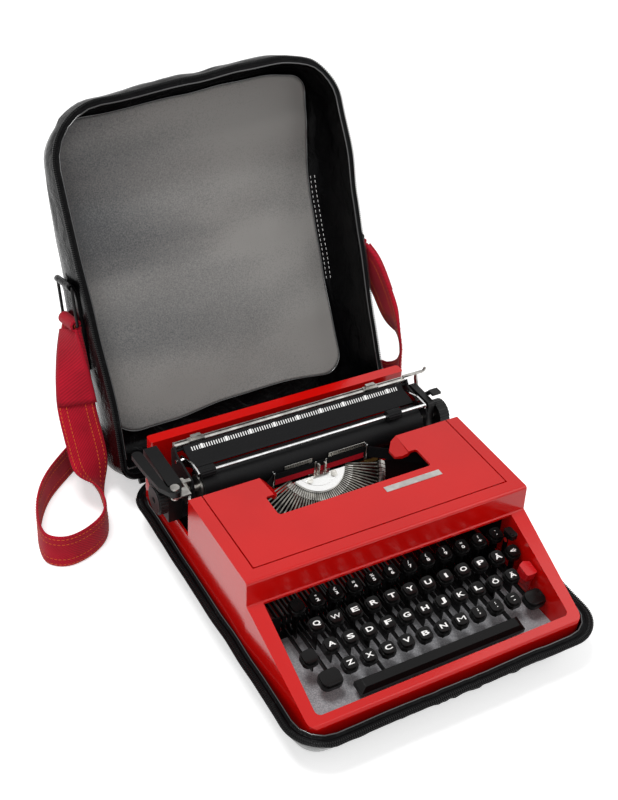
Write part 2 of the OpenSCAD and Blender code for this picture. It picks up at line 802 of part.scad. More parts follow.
module paper_table() {
  color([0.13, 0.13, 0.135]) along_x(2 * table_half) polygon([
    [100.8, 109.9], [104, 111.6], [119.5, 113.5], [125.8, 117.4], [126.4, 116.4], [120, 112.3],
    [104.4, 110.4], [101.3, 108.9]
  ]);
  color([0.13, 0.13, 0.135]) for (side = [-1, 1]) {
    block(side > 0 ? [117, table_half] : [-table_half, -117], [123, 128.4], [111, 114.4]);
    rod_x(side > 0 ? 118 : -side_x, side > 0 ? side_x : -118, 127.3, 112.6, 1.5);
  }
}

module paper_bail() {
  color([0.82, 0.82, 0.82]) {
    rod_x(-122, 122, bail_y, bail_z, 1.6);
    for (side = [-1, 1]) {
      along_x(1.6, side * 122) difference() {
        polygon(rounded([
          [bail_y - 3, bail_z - 3, 2], [bail_y - 3, bail_z + 3, 2], [bail_y + 12, bail_z + 3, 4],
          [bail_pivot[0] + 4, bail_pivot[1] + 3, 2], [bail_pivot[0] + 4, bail_pivot[1] - 4, 2],
          [bail_pivot[0] - 5, bail_pivot[1] - 4, 2], [bail_y + 12, bail_z - 2.2, 4]
        ]));
      }
      rod_x(side > 0 ? 121.5 : -129, side > 0 ? 129 : -121.5, bail_pivot[0], bail_pivot[1], 2);
    }
  }
}

module bail_rollers() {
  color([0.06, 0.06, 0.06]) for (x = [-120.6, 79]) difference() {
    rod_x(x, x + 15, bail_y, bail_z, 5.4);
    rod_x(x - 1, x + 16, bail_y, bail_z, 1.6 + running_fit);
    for (a = [0:30:330]) translate([x - 1, bail_y, bail_z]) rotate([a, 0, 0])
      translate([0, 6, 0]) rotate([0, 90, 0]) cylinder(r = 1, h = 20, $fn = 16);
  }
}

module margin_rail() {
  color([0.72, 0.71, 0.69]) {
    rod_x(-side_x, side_x, stop_rail_y, stop_rail_z, stop_rail_r);
    block([-side_x, side_x], [stop_rail_y + 3, stop_rail_y + 4.2], [stop_rail_z - 7, stop_rail_z + 1]);
    for (x = [-side_x, side_x - 2])
      block([x, x + 2], [stop_rail_y, stop_rail_y + 4], [stop_rail_z - 4, stop_rail_z + 1]);
  }
}

module margin_stop(x) {
  color([0.7, 0.69, 0.66]) difference() {
    union() {
      block([x - 8, x + 8], [stop_rail_y - 3, stop_rail_y + 2.7], [stop_rail_z - 3.2, stop_rail_z + 3.2]);
      block([x - 5, x + 5], [stop_rail_y - 1, stop_rail_y + 2.5], [stop_rail_z + 3, stop_rail_z + 6]);
    }
    rod_x(x - 10, x + 10, stop_rail_y, stop_rail_z, stop_rail_r + running_fit);
  }
}

module margin_stop_left() { margin_stop(-104); }
module margin_stop_right() { margin_stop(86); }

module carriage_release_lever() {
  color([0.08, 0.08, 0.08]) {
    along_x(1.6, 137.7) polygon(rounded([
      [108, 96, 3], [116, 96, 3], [116, 104, 2], [101, 119, 2], [96, 119, 2], [108, 104, 2]
    ]));
    block([137, 147], [94, 102], [116.4, 119]);
    rod_x(130, 138.5, 112, 100, 2);
  }
}

module paper_release_lever() {
  color([0.72, 0.7, 0.66]) {
    along_x(1.6, 139.7) polygon(rounded([
      [117, 93.5, 3], [124, 93.5, 3], [131, 114, 2], [131, 121.6, 0], [128.4, 121.6, 0], [126, 114, 2]
    ]));
    rod_x(130, 139.5, 120.2, 97, 2);
    block([124, 146], [128.4, 131], [119.6, 121.6]);
    translate([146, 128.4, 124.6]) rotate([-90, 0, 0]) difference() {
      cylinder(r = 5, h = 2.6);
      translate([0, 0, -1]) cylinder(r = 3.4, h = 6);
      block([-6, 0.01], [-6, 6], [-1, 6]);
      block([-6, 6], [-6, 0], [-1, 6]);
    }
  }
}

module feed_roller() {
  color([0.1, 0.1, 0.1]) {
    rod_x(-118, 118, feed_y, feed_z, feed_r);
    rod_x(-128.5, 128.5, feed_y, feed_z, 1.5);
  }
}

// Zip case

// The tray widens from its foot, which is no larger than the underside of the machine, to its rim
module tray_form(inset, low, high) {
  skin = 0.01;
  side = body_half - pan_taper - inset;
  front = body_front_y + pan_taper - 0.5 + inset;
  rear = body_rear_y + 4.5 - inset;
  hull() {
    translate([0, 0, low]) linear_extrude(skin) polygon(rounded([
      [-side, front, 14 - inset], [side, front, 14 - inset],
      [side, rear, 10 - inset], [-side, rear, 10 - inset]
    ]));
    translate([0, 0, high - skin]) linear_extrude(skin)
      round_rect(case_w - 2 * inset, case_d - 2 * inset, case_corner - inset);
  }
}

module case_tray() {
  color([0.06, 0.06, 0.065]) {
    difference() {
      tray_form(0, 0, tray_h);
      tray_form(tray_wall, tray_floor, tray_h + 0.02);
      block([-125, 125], [case_d / 2 - 6, case_d / 2 + 1], [tray_h - 3, tray_h + 1]);
    }
    // Welt that the lid folds about
    rod_x(-124, 124, hinge_y, hinge_z, seam_r);
    for (side = [-1, 1]) block(
      side > 0 ? [122, 126.5] : [-126.5, -122], [case_d / 2 - 4, hinge_y + 2], [tray_h - 6, hinge_z + 2]
    );
  }
}

module tray_zip() {
  color([0.1, 0.1, 0.1]) translate([0, 0, tray_h]) difference() {
    linear_extrude(2.2) round_rect(case_w + 2, case_d + 2, case_corner + 1);
    translate([0, 0, -1]) linear_extrude(5) round_rect(case_w - 12, case_d - 12, case_corner - 6);
    block([-200, 200], [case_d / 2 - 8, 300], [-1, 5]);
  }
}

// The lid is drawn upright behind the hinge, open towards the front
module on_lid() {
  translate([0, hinge_y, hinge_z]) rotate([-lid_lean, 0, 0]) children();
}

module lid_outline(inset) {
  polygon(rounded([
    [-case_w / 2 + inset, 3 + inset, 12 - inset], [case_w / 2 - inset, 3 + inset, 12 - inset],
    [case_w / 2 - inset, lid_len - inset, 36 - inset], [inset - case_w / 2, lid_len - inset, 36 - inset]
  ]));
}

module lid_slice(y0, y1) {
  translate([0, y1, 0]) rotate([90, 0, 0]) linear_extrude(y1 - y0) children();
}

// The middle of a ring's upper bar, with the ring hanging below it
module at_ring(ring) {
  translate([ring[0] * ring_x, ring[1], ring[2]]) rotate([ring[5], 0, 0]) children();
}

// Bar of a ring, or the hole for it, centred on the origin and lying along Y
module bar_y(length, r) {
  rotate([90, 0, 0]) cylinder(r = r, h = length, center = true);
}

// Sewn tab whose loop carries the upper bar of a strap ring
module ring_tab(ring) {
  inner = ring[0] * (case_w / 2 - 1 - ring_x);
  outer = ring[0] * (case_w / 2 + 3.5 - ring_x);
  at_ring(ring) difference() {
    union() {
      block([min(inner, outer), max(inner, outer)], [-ring[6] / 2, ring[6] / 2], [0, ring[7]]);
      bar_y(ring[6], 3.8);
    }
    bar_y(80, ring_wire + part_gap);
  }
}

module case_lid() {
  color([0.06, 0.06, 0.065]) on_lid() {
    difference() {
      lid_slice(0, lid_depth) lid_outline(0);
      lid_slice(-1, lid_depth - case_wall) lid_outline(case_wall);
    }
    difference() {
      union() {
        rod_x(-120, 120, 0, 0, 3.4);
        block([-120, 120], [0, 6], [1.5, 5]);
      }
      rod_x(-130, 130, 0, 0, seam_r + running_fit);
    }
    for (ring = [left_ring, right_ring]) ring_tab(ring);
  }
}

module lid_zip() {
  color([0.1, 0.1, 0.1]) on_lid() difference() {
    lid_slice(-2.2, -0.01) lid_outline(-1);
    lid_slice(-5, 1) lid_outline(7);
    block([-200, 200], [-5, 1], [-5, 12]);
  }
}

module lid_lining() {
  color([0.33, 0.33, 0.33]) on_lid() lid_slice(lid_depth - case_wall - 2.3, lid_depth - case_wall - 0.1)
    polygon(rounded([[-138, 36, 16], [138, 36, 16], [138, 352, 26], [-138, 352, 26]]));
}

module strap_rings() {
  color([0.1, 0.1, 0.1]) on_lid() for (ring = [left_ring, right_ring]) at_ring(ring) {
    for (y = [-ring[3] / 2, ring[3] / 2]) translate([0, y, -ring[4] - ring_wire])
      cylinder(r = ring_wire, h = ring[4] + 2 * ring_wire);
    for (z = [-ring[4], 0]) translate([0, 0, z]) bar_y(ring[3], ring_wire);
  }
}

function turned(v, a) = [v[0], v[1] * cos(a) - v[2] * sin(a), v[1] * sin(a) + v[2] * cos(a)];
function on_ring(ring, p) = [0, hinge_y, hinge_z] +
  turned([ring[0] * ring_x, ring[1], ring[2]] + turned(p, ring[5]), -lid_lean);

// Smooth value between b and c at t, with a and d as neighbours
function smooth(a, b, c, d, t) =
  0.5 * (2 * b + (c - a) * t + (2 * a - 5 * b + 4 * c - d) * t * t + (3 * b - a - 3 * c + d) * t * t * t);

// Thin band swept through sections of middle, direction across and layers
module band(sections) {
  n = len(sections);
  points = [for (i = [0:n - 1])
    let (
      s = sections[i],
      ahead = unit(sections[min(i + 1, n - 1)][0] - sections[max(i - 1, 0)][0]),
      across = unit(s[1] - ahead * (ahead * s[1])) * strap_w / 2,
      thick = unit(cross(ahead, across)) * s[2] * strap_t / 2
    ) each [s[0] - across - thick, s[0] + across - thick, s[0] + across + thick, s[0] - across + thick]
  ];
  sides = [for (i = [0:n - 2], k = [0:3])
    let (a = 4 * i + k, b = 4 * i + (k + 1) % 4) each [[a, b + 4, b], [a, a + 4, b + 4]]
  ];
  last = 4 * n - 4;
  ends = [[0, 1, 2], [0, 2, 3], [last, last + 2, last + 1], [last, last + 3, last + 2]];
  polyhedron(points, concat(sides, ends));
}

module strap() {
  steps = 3;
  left = on_ring(left_ring, [0, 0, -left_ring[4]]);
  right = on_ring(right_ring, [0, -right_ring[3] / 2, -right_ring[4] / 2]);
  left_turn = left_ring[5] - lid_lean;
  right_turn = right_ring[5] - lid_lean;
  hole = ring_wire + part_gap;
  keys = concat(
    [[left, turned([0, -1, 0], left_turn), 2.9]],
    [for (k = strap_route) [k[0] + [sign(k[0][0]) * (case_w / 2 - route_half), 0, 0], k[1], k[2]]],
    [[right, turned([0, 0, 1], right_turn), 2.9]]
  );
  n = len(keys);
  sections = [for (i = [0:n - 2], j = [0:steps - 1]) [for (m = [0:2])
    smooth(keys[max(i - 1, 0)][m], keys[i][m], keys[i + 1][m], keys[min(i + 2, n - 1)][m], j / steps)
  ]];
  color([0.75, 0.06, 0.12]) difference() {
    union() {
      band(concat(sections, [keys[n - 1]]));
      translate(left) rotate([left_turn, 0, 0]) bar_y(strap_w, hole + strap_t);
      translate(right) rotate([right_turn, 0, 0]) cylinder(r = hole + strap_t, h = strap_w, center = true);
    }
    translate(left) rotate([left_turn, 0, 0]) bar_y(60, hole);
    translate(right) rotate([right_turn, 0, 0]) cylinder(r = hole, h = 60, center = true);
  }
}

case_tray();
tray_zip();
case_lid();
lid_zip();
lid_lining();
strap_rings();
strap();
base_pan();
rubber_feet();
top_cover();
ribbon_cover();
nameplate();
keyboard_plate();
chassis_frame();
key_comb();
lever_fulcrum();
segment();
segment_plate();
segment_screws();
typebars();
typed_bar();
typebar_rest();
type_guide();
ribbon_vibrator();
ribbon();
ribbon_guides();
ribbon_spool_left();
ribbon_spool_right();
carriage_rail();
mainspring_drum();
escapement_wheel();
bell();
key_row_1();
key_row_2();
key_row_3();
key_row_4();
key_h();
space_bar();
shift_keys();
shift_lock();
tab_key();
backspace_key();
margin_release_key();
ribbon_selector();
carriage_frame();
platen();
platen_shaft();
platen_knobs();
end_covers();
return_lever();
lever_bracket();
paper_table();
paper_bail();
bail_rollers();
margin_rail();
margin_stop_left();
margin_stop_right();
carriage_release_lever();
paper_release_lever();
feed_roller();
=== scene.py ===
# Portable typewriter in the open tray of its zip case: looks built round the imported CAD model.
import math

import bmesh
import bpy
from mathutils import Matrix, Vector, noise


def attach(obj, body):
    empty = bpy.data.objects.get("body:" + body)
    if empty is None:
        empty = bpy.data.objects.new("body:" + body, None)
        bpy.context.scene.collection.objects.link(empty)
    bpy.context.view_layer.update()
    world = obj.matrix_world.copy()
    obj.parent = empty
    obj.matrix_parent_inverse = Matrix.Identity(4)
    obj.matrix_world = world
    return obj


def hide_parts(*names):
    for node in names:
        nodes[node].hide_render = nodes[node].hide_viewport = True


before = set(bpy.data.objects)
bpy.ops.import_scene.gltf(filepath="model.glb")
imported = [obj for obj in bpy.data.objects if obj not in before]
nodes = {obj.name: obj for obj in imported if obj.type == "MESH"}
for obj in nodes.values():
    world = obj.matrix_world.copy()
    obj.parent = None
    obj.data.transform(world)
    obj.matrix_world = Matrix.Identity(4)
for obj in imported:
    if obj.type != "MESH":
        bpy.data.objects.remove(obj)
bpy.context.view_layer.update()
MM = 0.001
MACHINE = "machine_and_tray"


def put_in_scene(name, data):
    """New object of this data, in the scene."""
    thing = bpy.data.objects.new(name, data)
    bpy.context.scene.collection.objects.link(thing)
    return thing


# Camera: solved from the key grid, with its place in millimetres and its focal length in pixels of the picture

CAMERA_PLACE = (-504.82, -720.47, 880.07)
CAMERA_BACK = (-0.4166, -0.6799, 0.6035)
CAMERA_RIGHT = (0.8735, -0.4833, 0.0585)
FOCAL_PX, PICTURE_TALL_PX = 1293.74, 800.0
SENSOR_TALL = 24.0


def make_camera():
    back = Vector(CAMERA_BACK).normalized()
    right = Vector(CAMERA_RIGHT).normalized()
    up = back.cross(right).normalized()
    right = up.cross(back)
    data = bpy.data.cameras.new("camera")
    data.sensor_fit = "VERTICAL"
    data.sensor_height = SENSOR_TALL
    data.lens = SENSOR_TALL * FOCAL_PX / PICTURE_TALL_PX
    data.clip_end = 20.0
    camera = put_in_scene("camera", data)
    place = Matrix((right, up, back)).transposed().to_4x4()
    place.translation = Vector(CAMERA_PLACE) * MM
    camera.matrix_world = place
    bpy.context.scene.camera = camera


make_camera()


# Materials

NOISE, WAVE, MAPPING, MATH = "ShaderNodeTexNoise", "ShaderNodeTexWave", "ShaderNodeMapping", "ShaderNodeMath"
RAMP, RANGE, BUMP = "ShaderNodeValToRGB", "ShaderNodeMapRange", "ShaderNodeBump"


def srgb(text):
    """sRGB hex colour as linear RGBA."""
    out = []
    for i in (0, 2, 4):
        c = int(text[i:i + 2], 16) / 255.0
        out.append(c / 12.92 if c <= 0.04045 else ((c + 0.055) / 1.055) ** 2.4)
    return out + [1.0]


def per_mm(size):
    """Texture scale whose grains or patches are about this many millimetres across."""
    return 1.0 / (size * MM)


def bands_at(pitch):
    """Texture scale whose straight or round bands lie this many millimetres apart: 20 radians go to one unit."""
    return 2 * math.pi / (20 * pitch * MM)


def add(tree, kind, settings=None, links=None, feeds=None):
    """Adds one node. Settings are attributes, input values or a ramp's stops; links map an input to (node, output);
    feeds map an output to (node, input)."""
    node = tree.nodes.new(kind)
    for name, value in (settings or {}).items():
        if name == "stops":
            for stop, (place, colour) in zip(node.color_ramp.elements, value):
                stop.position, stop.color = place, srgb(colour)
        elif isinstance(name, str) and hasattr(node, name) and name not in node.inputs:
            setattr(node, name, value)
        else:
            node.inputs[name].default_value = value
    for name, (source, output) in (links or {}).items():
        tree.links.new(source.outputs[output], node.inputs[name])
    for output, (target, name) in (feeds or {}).items():
        tree.links.new(node.outputs[output], target.inputs[name])
    return node


def principled(name, base, roughness, **sockets):
    """New material with its shader's uniform numbers on the shader's own sockets."""
    material = bpy.data.materials.new(name)
    material.use_nodes = True
    tree = material.node_tree
    shader = tree.nodes["Principled BSDF"]
    shader.inputs["Base Color"].default_value = srgb(base)
    shader.inputs["Roughness"].default_value = roughness
    for key, value in sockets.items():
        shader.inputs[key.replace("_", " ")].default_value = value
    return material, tree, shader


def moulded_abs(name, dark, light, rough, specular=0.5):
    """Injection-moulded ABS: glossy, with slight flow mottling, faint handling smears and an orange peel of 2 mm."""
    material, tree, shader = principled(name, light, rough, IOR=1.53, Specular_IOR_Level=specular)
    where = add(tree, "ShaderNodeTexCoord")
    mottle = add(tree, NOISE, {"Scale": per_mm(111.11), "Detail": 3.0}, {"Vector": (where, "Object")})
    add(tree, RAMP, {"stops": ((0.3, dark), (0.7, light))}, {"Fac": (mottle, "Fac")}, {"Color": (shader, "Base Color")})
    smear = add(tree, NOISE, {"Scale": per_mm(16.667), "Detail": 5.0, "Roughness": 0.65}, {"Vector": (where, "Object")})
    add(tree, RANGE, {"To Min": 0.75 * rough, "To Max": 1.35 * rough}, {"Value": (smear, "Fac")},
        {"Result": (shader, "Roughness")})
    peel = add(tree, NOISE, {"Scale": per_mm(2.0), "Detail": 1.0}, {"Vector": (where, "Object")})
    add(tree, BUMP, {"Distance": 0.04 * MM, "Strength": 0.35}, {"Height": (peel, "Fac")},
        {"Normal": (shader, "Normal")})
    return material


# Body shells, keys, tabulator key, and the black fittings of the carriage, which are a little duller
RED = moulded_abs("moulded_abs_red", "BE0907", "CA0D08", 0.12, 0.34)
KEY_BLACK = moulded_abs("moulded_abs_black", "060606", "0C0B0B", 0.28, 0.16)
TAB_RED = moulded_abs("moulded_abs_tab_red", "A80C14", "C4141A", 0.26)
FITTING_BLACK = moulded_abs("moulded_black_fittings", "080808", "101011", 0.36, 0.2)
RED_DOT = moulded_abs("moulded_red_dot", "B01818", "C82420", 0.4)
# Plasticised cord round the seams, with a wet shine, and the zips' teeth
WELT = moulded_abs("glossy_welt_cord", "0C0C0D", "18181A", 0.1, 0.9)
ZIP_TOOTH = moulded_abs("moulded_zip_teeth", "0A0A0B", "141415", 0.3, 0.3)


def enamel(name, base, speck, grain_mm, rough, lift_mm):
    """Stoved crackle enamel on sheet steel: fine raised grain, its tops painted paler as specks of highlight."""
    material, tree, shader = principled(name, base, rough, Specular_IOR_Level=0.12)
    where = add(tree, "ShaderNodeTexCoord")
    grain = add(tree, NOISE, {"Scale": per_mm(grain_mm), "Detail": 4.0, "Roughness": 0.7},
                {"Vector": (where, "Object")})
    # Painted highlight: the raised grain is coloured paler, as specks of light
    add(tree, RAMP, {"stops": ((0.45, base), (0.75, speck))}, {"Fac": (grain, "Fac")},
        {"Color": (shader, "Base Color")})
    add(tree, RANGE, {"To Min": 0.8 * rough, "To Max": 1.2 * rough}, {"Value": (grain, "Fac")},
        {"Result": (shader, "Roughness")})
    add(tree, BUMP, {"Distance": lift_mm * MM, "Strength": 0.6}, {"Height": (grain, "Fac")},
        {"Normal": (shader, "Normal")})
    return material


# Light floor under the keys, black crackle on the paper table, dark paint on the frames, each with painted highlight
# specks on its grain
FLOOR_ENAMEL = enamel("speckled_enamel", "88888B", "C2C2C4", 1.1, 0.42, 0.08)
TABLE_ENAMEL = enamel("crackle_enamel", "0A0A0B", "19191B", 1.0, 0.6, 0.06)
FRAME_ENAMEL = enamel("frame_enamel", "131314", "222224", 1.6, 0.5, 0.05)


def plated(name, dark, light, rough, streak_mm):
    """Drawn and plated metal: mirror-like, with faint drawing streaks along X and dulled patches of 8 mm."""
    material, tree, shader = principled(name, light, rough, Metallic=1.0)
    where = add(tree, "ShaderNodeTexCoord")
    patch = add(tree, NOISE, {"Scale": per_mm(8.3333), "Detail": 4.0}, {"Vector": (where, "Object")})
    add(tree, RAMP, {"stops": ((0.3, dark), (0.7, light))}, {"Fac": (patch, "Fac")}, {"Color": (shader, "Base Color")})
    drawn = add(tree, MAPPING, {"Scale": (per_mm(125.0), per_mm(streak_mm), per_mm(streak_mm))},
                {"Vector": (where, "Object")})
    streak = add(tree, NOISE, {"Scale": 1.0, "Detail": 2.0}, {"Vector": (drawn, "Vector")})
    add(tree, RANGE, {"To Min": 0.7 * rough, "To Max": 1.5 * rough}, {"Value": (streak, "Fac")},
        {"Result": (shader, "Roughness")})
    add(tree, BUMP, {"Distance": 0.02 * MM, "Strength": 0.3}, {"Height": (streak, "Fac")},
        {"Normal": (shader, "Normal")})
    return material


STEEL = plated("nickel_plated_steel", "8C8A86", "C9C7C2", 0.3, 0.6)
CHROME = plated("chrome_plated_rod", "C0C0C0", "F0F0F0", 0.12, 1.2)
DARK_STEEL = plated("typebar_steel", "45433F", "85827B", 0.3, 0.5)
TYPE_METAL = plated("plated_type_slugs", "A8A6A0", "E2E0DA", 0.28, 0.5)
BRASS = plated("dull_brass", "6E5A2E", "A68C4A", 0.4, 0.8)
NAMEPLATE = plated("satin_aluminium_plate", "A6A4A0", "C4C2BE", 0.34, 0.5)

# Centre of the segment's half ring, round which the typebars stand, in millimetres
SEGMENT_CENTRE = (0.0, 84.5, 86.5)


def turned_aluminium():
    """Turned aluminium plate of the segment: pale, its round tool marks drawn 0.8 mm apart so that they show."""
    material, tree, shader = principled("turned_aluminium", "DCDCDA", 0.35, Metallic=0.75)
    where = add(tree, "ShaderNodeTexCoord")
    centred = add(tree, MAPPING, {"Location": [-c * MM for c in SEGMENT_CENTRE]}, {"Vector": (where, "Object")})
    rings = add(tree, WAVE, {"wave_type": "RINGS", "rings_direction": "SPHERICAL", "Scale": bands_at(0.8267),
                             "Distortion": 0.4}, {"Vector": (centred, "Vector")})
    add(tree, RAMP, {"stops": ((0.0, "C8C8C6"), (1.0, "EFEFEE"))}, {"Fac": (rings, "Fac")},
        {"Color": (shader, "Base Color")})
    add(tree, BUMP, {"Distance": 0.02 * MM, "Strength": 0.4}, {"Height": (rings, "Fac")},
        {"Normal": (shader, "Normal")})
    return material


TURNED = turned_aluminium()


def matt(name, base, light, rough):
    """Ground rubber, dull paint, dry ink or thread: matt, its fine grain drawn at about 1 mm so that it shows."""
    material, tree, shader = principled(name, base, rough, Specular_IOR_Level=0.12)
    where = add(tree, "ShaderNodeTexCoord")
    grain = add(tree, NOISE, {"Scale": per_mm(1.1111), "Detail": 3.0}, {"Vector": (where, "Object")})
    add(tree, RAMP, {"stops": ((0.3, base), (0.7, light))}, {"Fac": (grain, "Fac")}, {"Color": (shader, "Base Color")})
    add(tree, RANGE, {"To Min": 0.85 * rough, "To Max": 1.1 * rough}, {"Value": (grain, "Fac")},
        {"Result": (shader, "Roughness")})
    add(tree, BUMP, {"Distance": 0.04 * MM, "Strength": 0.4}, {"Height": (grain, "Fac")},
        {"Normal": (shader, "Normal")})
    return material


RUBBER = matt("ground_rubber", "0C0C0D", "151516", 0.5)
THREAD = matt("orange_thread", "C8501E", "E87838", 0.7)
LEGEND = matt("white_legend_paint", "E8E8E6", "FAFAF8", 0.5)
INK_BLACK = matt("inked_ribbon_black", "0A0A0B", "141416", 0.75)
INK_RED = matt("inked_ribbon_red", "B0101E", "C81C2C", 0.75)


def leathercloth(name, base, light, rough, crease_mm, specular):
    """Calendered PVC leathercloth: glossy black, grained at about 1 mm and creased every 30 mm where it bends."""
    material, tree, shader = principled(name, base, rough, IOR=1.5, Specular_IOR_Level=specular)
    where = add(tree, "ShaderNodeTexCoord")
    pebble = add(tree, "ShaderNodeTexVoronoi", {"Scale": per_mm(1.1111), "feature": "SMOOTH_F1"},
                 {"Vector": (where, "Object")})
    crease = add(tree, NOISE, {"Scale": per_mm(29.412), "Detail": 6.0, "Roughness": 0.6, "Distortion": 1.2},
                 {"Vector": (where, "Object")})
    add(tree, RAMP, {"stops": ((0.3, base), (0.7, light))}, {"Fac": (crease, "Fac")}, {"Color": (shader, "Base Color")})
    add(tree, RANGE, {"To Min": 0.7 * rough, "To Max": 1.4 * rough}, {"Value": (crease, "Fac")},
        {"Result": (shader, "Roughness")})
    fine = add(tree, BUMP, {"Distance": 0.1 * MM, "Strength": 0.25}, {"Height": (pebble, "Distance")})
    add(tree, BUMP, {"Distance": crease_mm * MM, "Strength": 0.8},
        {"Height": (crease, "Fac"), "Normal": (fine, "Normal")}, {"Normal": (shader, "Normal")})
    return material


# The slack skin reads as satin black, the stretched wall of the tray as a wet shine
VINYL = leathercloth("pvc_leathercloth", "040405", "09090A", 0.2, 2.6, 0.06)
VINYL_TAUT = leathercloth("pvc_leathercloth_taut", "040405", "09090A", 0.1, 3.4, 0.9)


def woven_lining():
    """Grey plain-woven cloth with a soft sheen, its 0.8 mm threads drawn at 2.4 mm so that they show."""
    material, tree, shader = principled("woven_lining", "6E6E6D", 0.7, Sheen_Weight=0.15, Sheen_Roughness=0.5)
    where = add(tree, "ShaderNodeTexCoord")
    # The tone differs at random, and is also stretched into broad slanted bands, lighter and darker, as painted light
    # and shade of the cloth's folds
    across = add(tree, MAPPING, {"Rotation": (0.0, 0.25, 0.0), "Scale": (0.55, 1.0, 1.7)},
                 {"Vector": (where, "Object")})
    tone = add(tree, NOISE, {"Scale": per_mm(166.67), "Detail": 1.5, "Roughness": 0.45, "Distortion": 0.5},
               {"Vector": (across, "Vector")})
    speck = add(tree, NOISE, {"Scale": per_mm(1.4286), "Detail": 2.0}, {"Vector": (where, "Object")})
    grey = add(tree, MATH, {"operation": "MULTIPLY_ADD", 1: 0.45}, {0: (speck, "Fac"), 2: (tone, "Fac")})
    # Painted light: drawn lighter towards the right, where the lamps light the cloth more
    parts = add(tree, "ShaderNodeSeparateXYZ", {}, {"Vector": (where, "Object")})
    painted_light_to_right = add(tree, MATH, {"operation": "MULTIPLY_ADD", 1: 0.9}, {0: (parts, "X"), 2: (grey, "Value")})
    add(tree, RAMP, {"stops": ((0.54, "4C4E50"), (0.88, "8A8885"))}, {"Fac": (painted_light_to_right, "Value")},
        {"Color": (shader, "Base Color")})
    warp = add(tree, WAVE, {"bands_direction": "X", "Scale": bands_at(2.4166)}, {"Vector": (where, "Object")})
    weft = add(tree, WAVE, {"bands_direction": "Z", "Scale": bands_at(2.4166)}, {"Vector": (where, "Object")})
    weave = add(tree, MATH, {"operation": "MULTIPLY"}, {0: (warp, "Fac"), 1: (weft, "Fac")})
    fine = add(tree, BUMP, {"Distance": 0.1 * MM, "Strength": 0.4}, {"Height": (weave, "Value")})
    pucker = add(tree, NOISE, {"Scale": per_mm(41.667), "Detail": 3.0}, {"Vector": (where, "Object")})
    add(tree, BUMP, {"Distance": 2.0 * MM, "Strength": 0.35}, {"Height": (pucker, "Fac"), "Normal": (fine, "Normal")},
        {"Normal": (shader, "Normal")})
    return material


LINING = woven_lining()


def twill_webbing():
    """Cotton webbing dyed crimson: slanting twill ribs of 1.6 mm, drawn at 2.2 mm so that they show, with painted light
    and shade: the rib tops are coloured paler and the grooves darker.
    """
    material, tree, shader = principled("twill_webbing", "A80E26", 0.8, Specular_IOR_Level=0.15, Sheen_Weight=0.06)
    along = add(tree, "ShaderNodeUVMap", {"uv_map": "along"})
    # A diagonal band is wider than a straight one of the same scale by the square root of 2
    ribs = add(tree, WAVE, {"bands_direction": "DIAGONAL", "Scale": math.sqrt(2) * bands_at(2.2214), "Distortion": 0.6},
               {"Vector": (along, "UV")})
    tone = add(tree, NOISE, {"Scale": per_mm(33.333), "Detail": 4.0}, {"Vector": (along, "UV")})
    # Painted light and shade: the ribs make the colour paler on their tops and darker in their grooves; the noise adds
    # the dye's own uneven tone
    dye_and_rib_shade = add(tree, MATH, {"operation": "MULTIPLY_ADD", 1: 0.35}, {0: (ribs, "Fac"), 2: (tone, "Fac")})
    add(tree, RAMP, {"stops": ((0.3, "82091B"), (0.95, "B81029"))}, {"Fac": (dye_and_rib_shade, "Value")},
        {"Color": (shader, "Base Color")})
    add(tree, BUMP, {"Distance": 0.25 * MM, "Strength": 0.6}, {"Height": (ribs, "Fac")},
        {"Normal": (shader, "Normal")})
    return material


WEBBING = twill_webbing()


# Finish of the CAD's own nodes, each with the width of its softened edges in millimetres

FINISHES = (
    (RED, {"base_pan": 1.6, "top_cover": 1.9, "ribbon_cover": 0.7}),
    (TAB_RED, {"tab_key": 0.7}),
    (NAMEPLATE, {"nameplate": 0.12}),
    (KEY_BLACK, {"key_row_1": 0.7, "key_row_2": 0.7, "key_row_3": 0.7, "key_row_4": 0.7, "key_h": 0.7, "space_bar": 0.6,
                 "shift_keys": 0.7, "shift_lock": 0.7, "backspace_key": 0.7, "margin_release_key": 0.7,
                 "ribbon_selector": 0.4}),
    (FITTING_BLACK, {"platen_knobs": 0.4, "end_covers": 1.2, "return_lever": 0.9, "carriage_release_lever": 0.4}),
    (RUBBER, {"rubber_feet": 0.5, "typebar_rest": 0.3, "platen": 0.4, "bail_rollers": 0.4, "feed_roller": 0.2}),
    (FLOOR_ENAMEL, {"keyboard_plate": 0.2}),
    (TABLE_ENAMEL, {"paper_table": 0.2}),
    (FRAME_ENAMEL, {"chassis_frame": 0.2, "key_comb": 0.1, "ribbon_spool_left": 0.2, "ribbon_spool_right": 0.2,
                    "carriage_frame": 0.3}),
    (STEEL, {"lever_fulcrum": 0.1, "segment": 0.15, "ribbon_vibrator": 0.08, "carriage_rail": 0.2, "platen_shaft": 0.2,
             "lever_bracket": 0.3, "margin_rail": 0.2, "margin_stop_left": 0.3, "margin_stop_right": 0.3,
             "paper_release_lever": 0.3}),
    (CHROME, {"ribbon_guides": 0.1, "paper_bail": 0.3}),
    (DARK_STEEL, {"typebars": 0.1, "typed_bar": 0.1}),
    (TYPE_METAL, {"segment_screws": 0.2, "type_guide": 0.1}),
    (TURNED, {"segment_plate": 0.15}),
    (BRASS, {"mainspring_drum": 0.4, "escapement_wheel": 0.1, "bell": 0.3}),
    (INK_BLACK, {"ribbon": 0.0}),
)


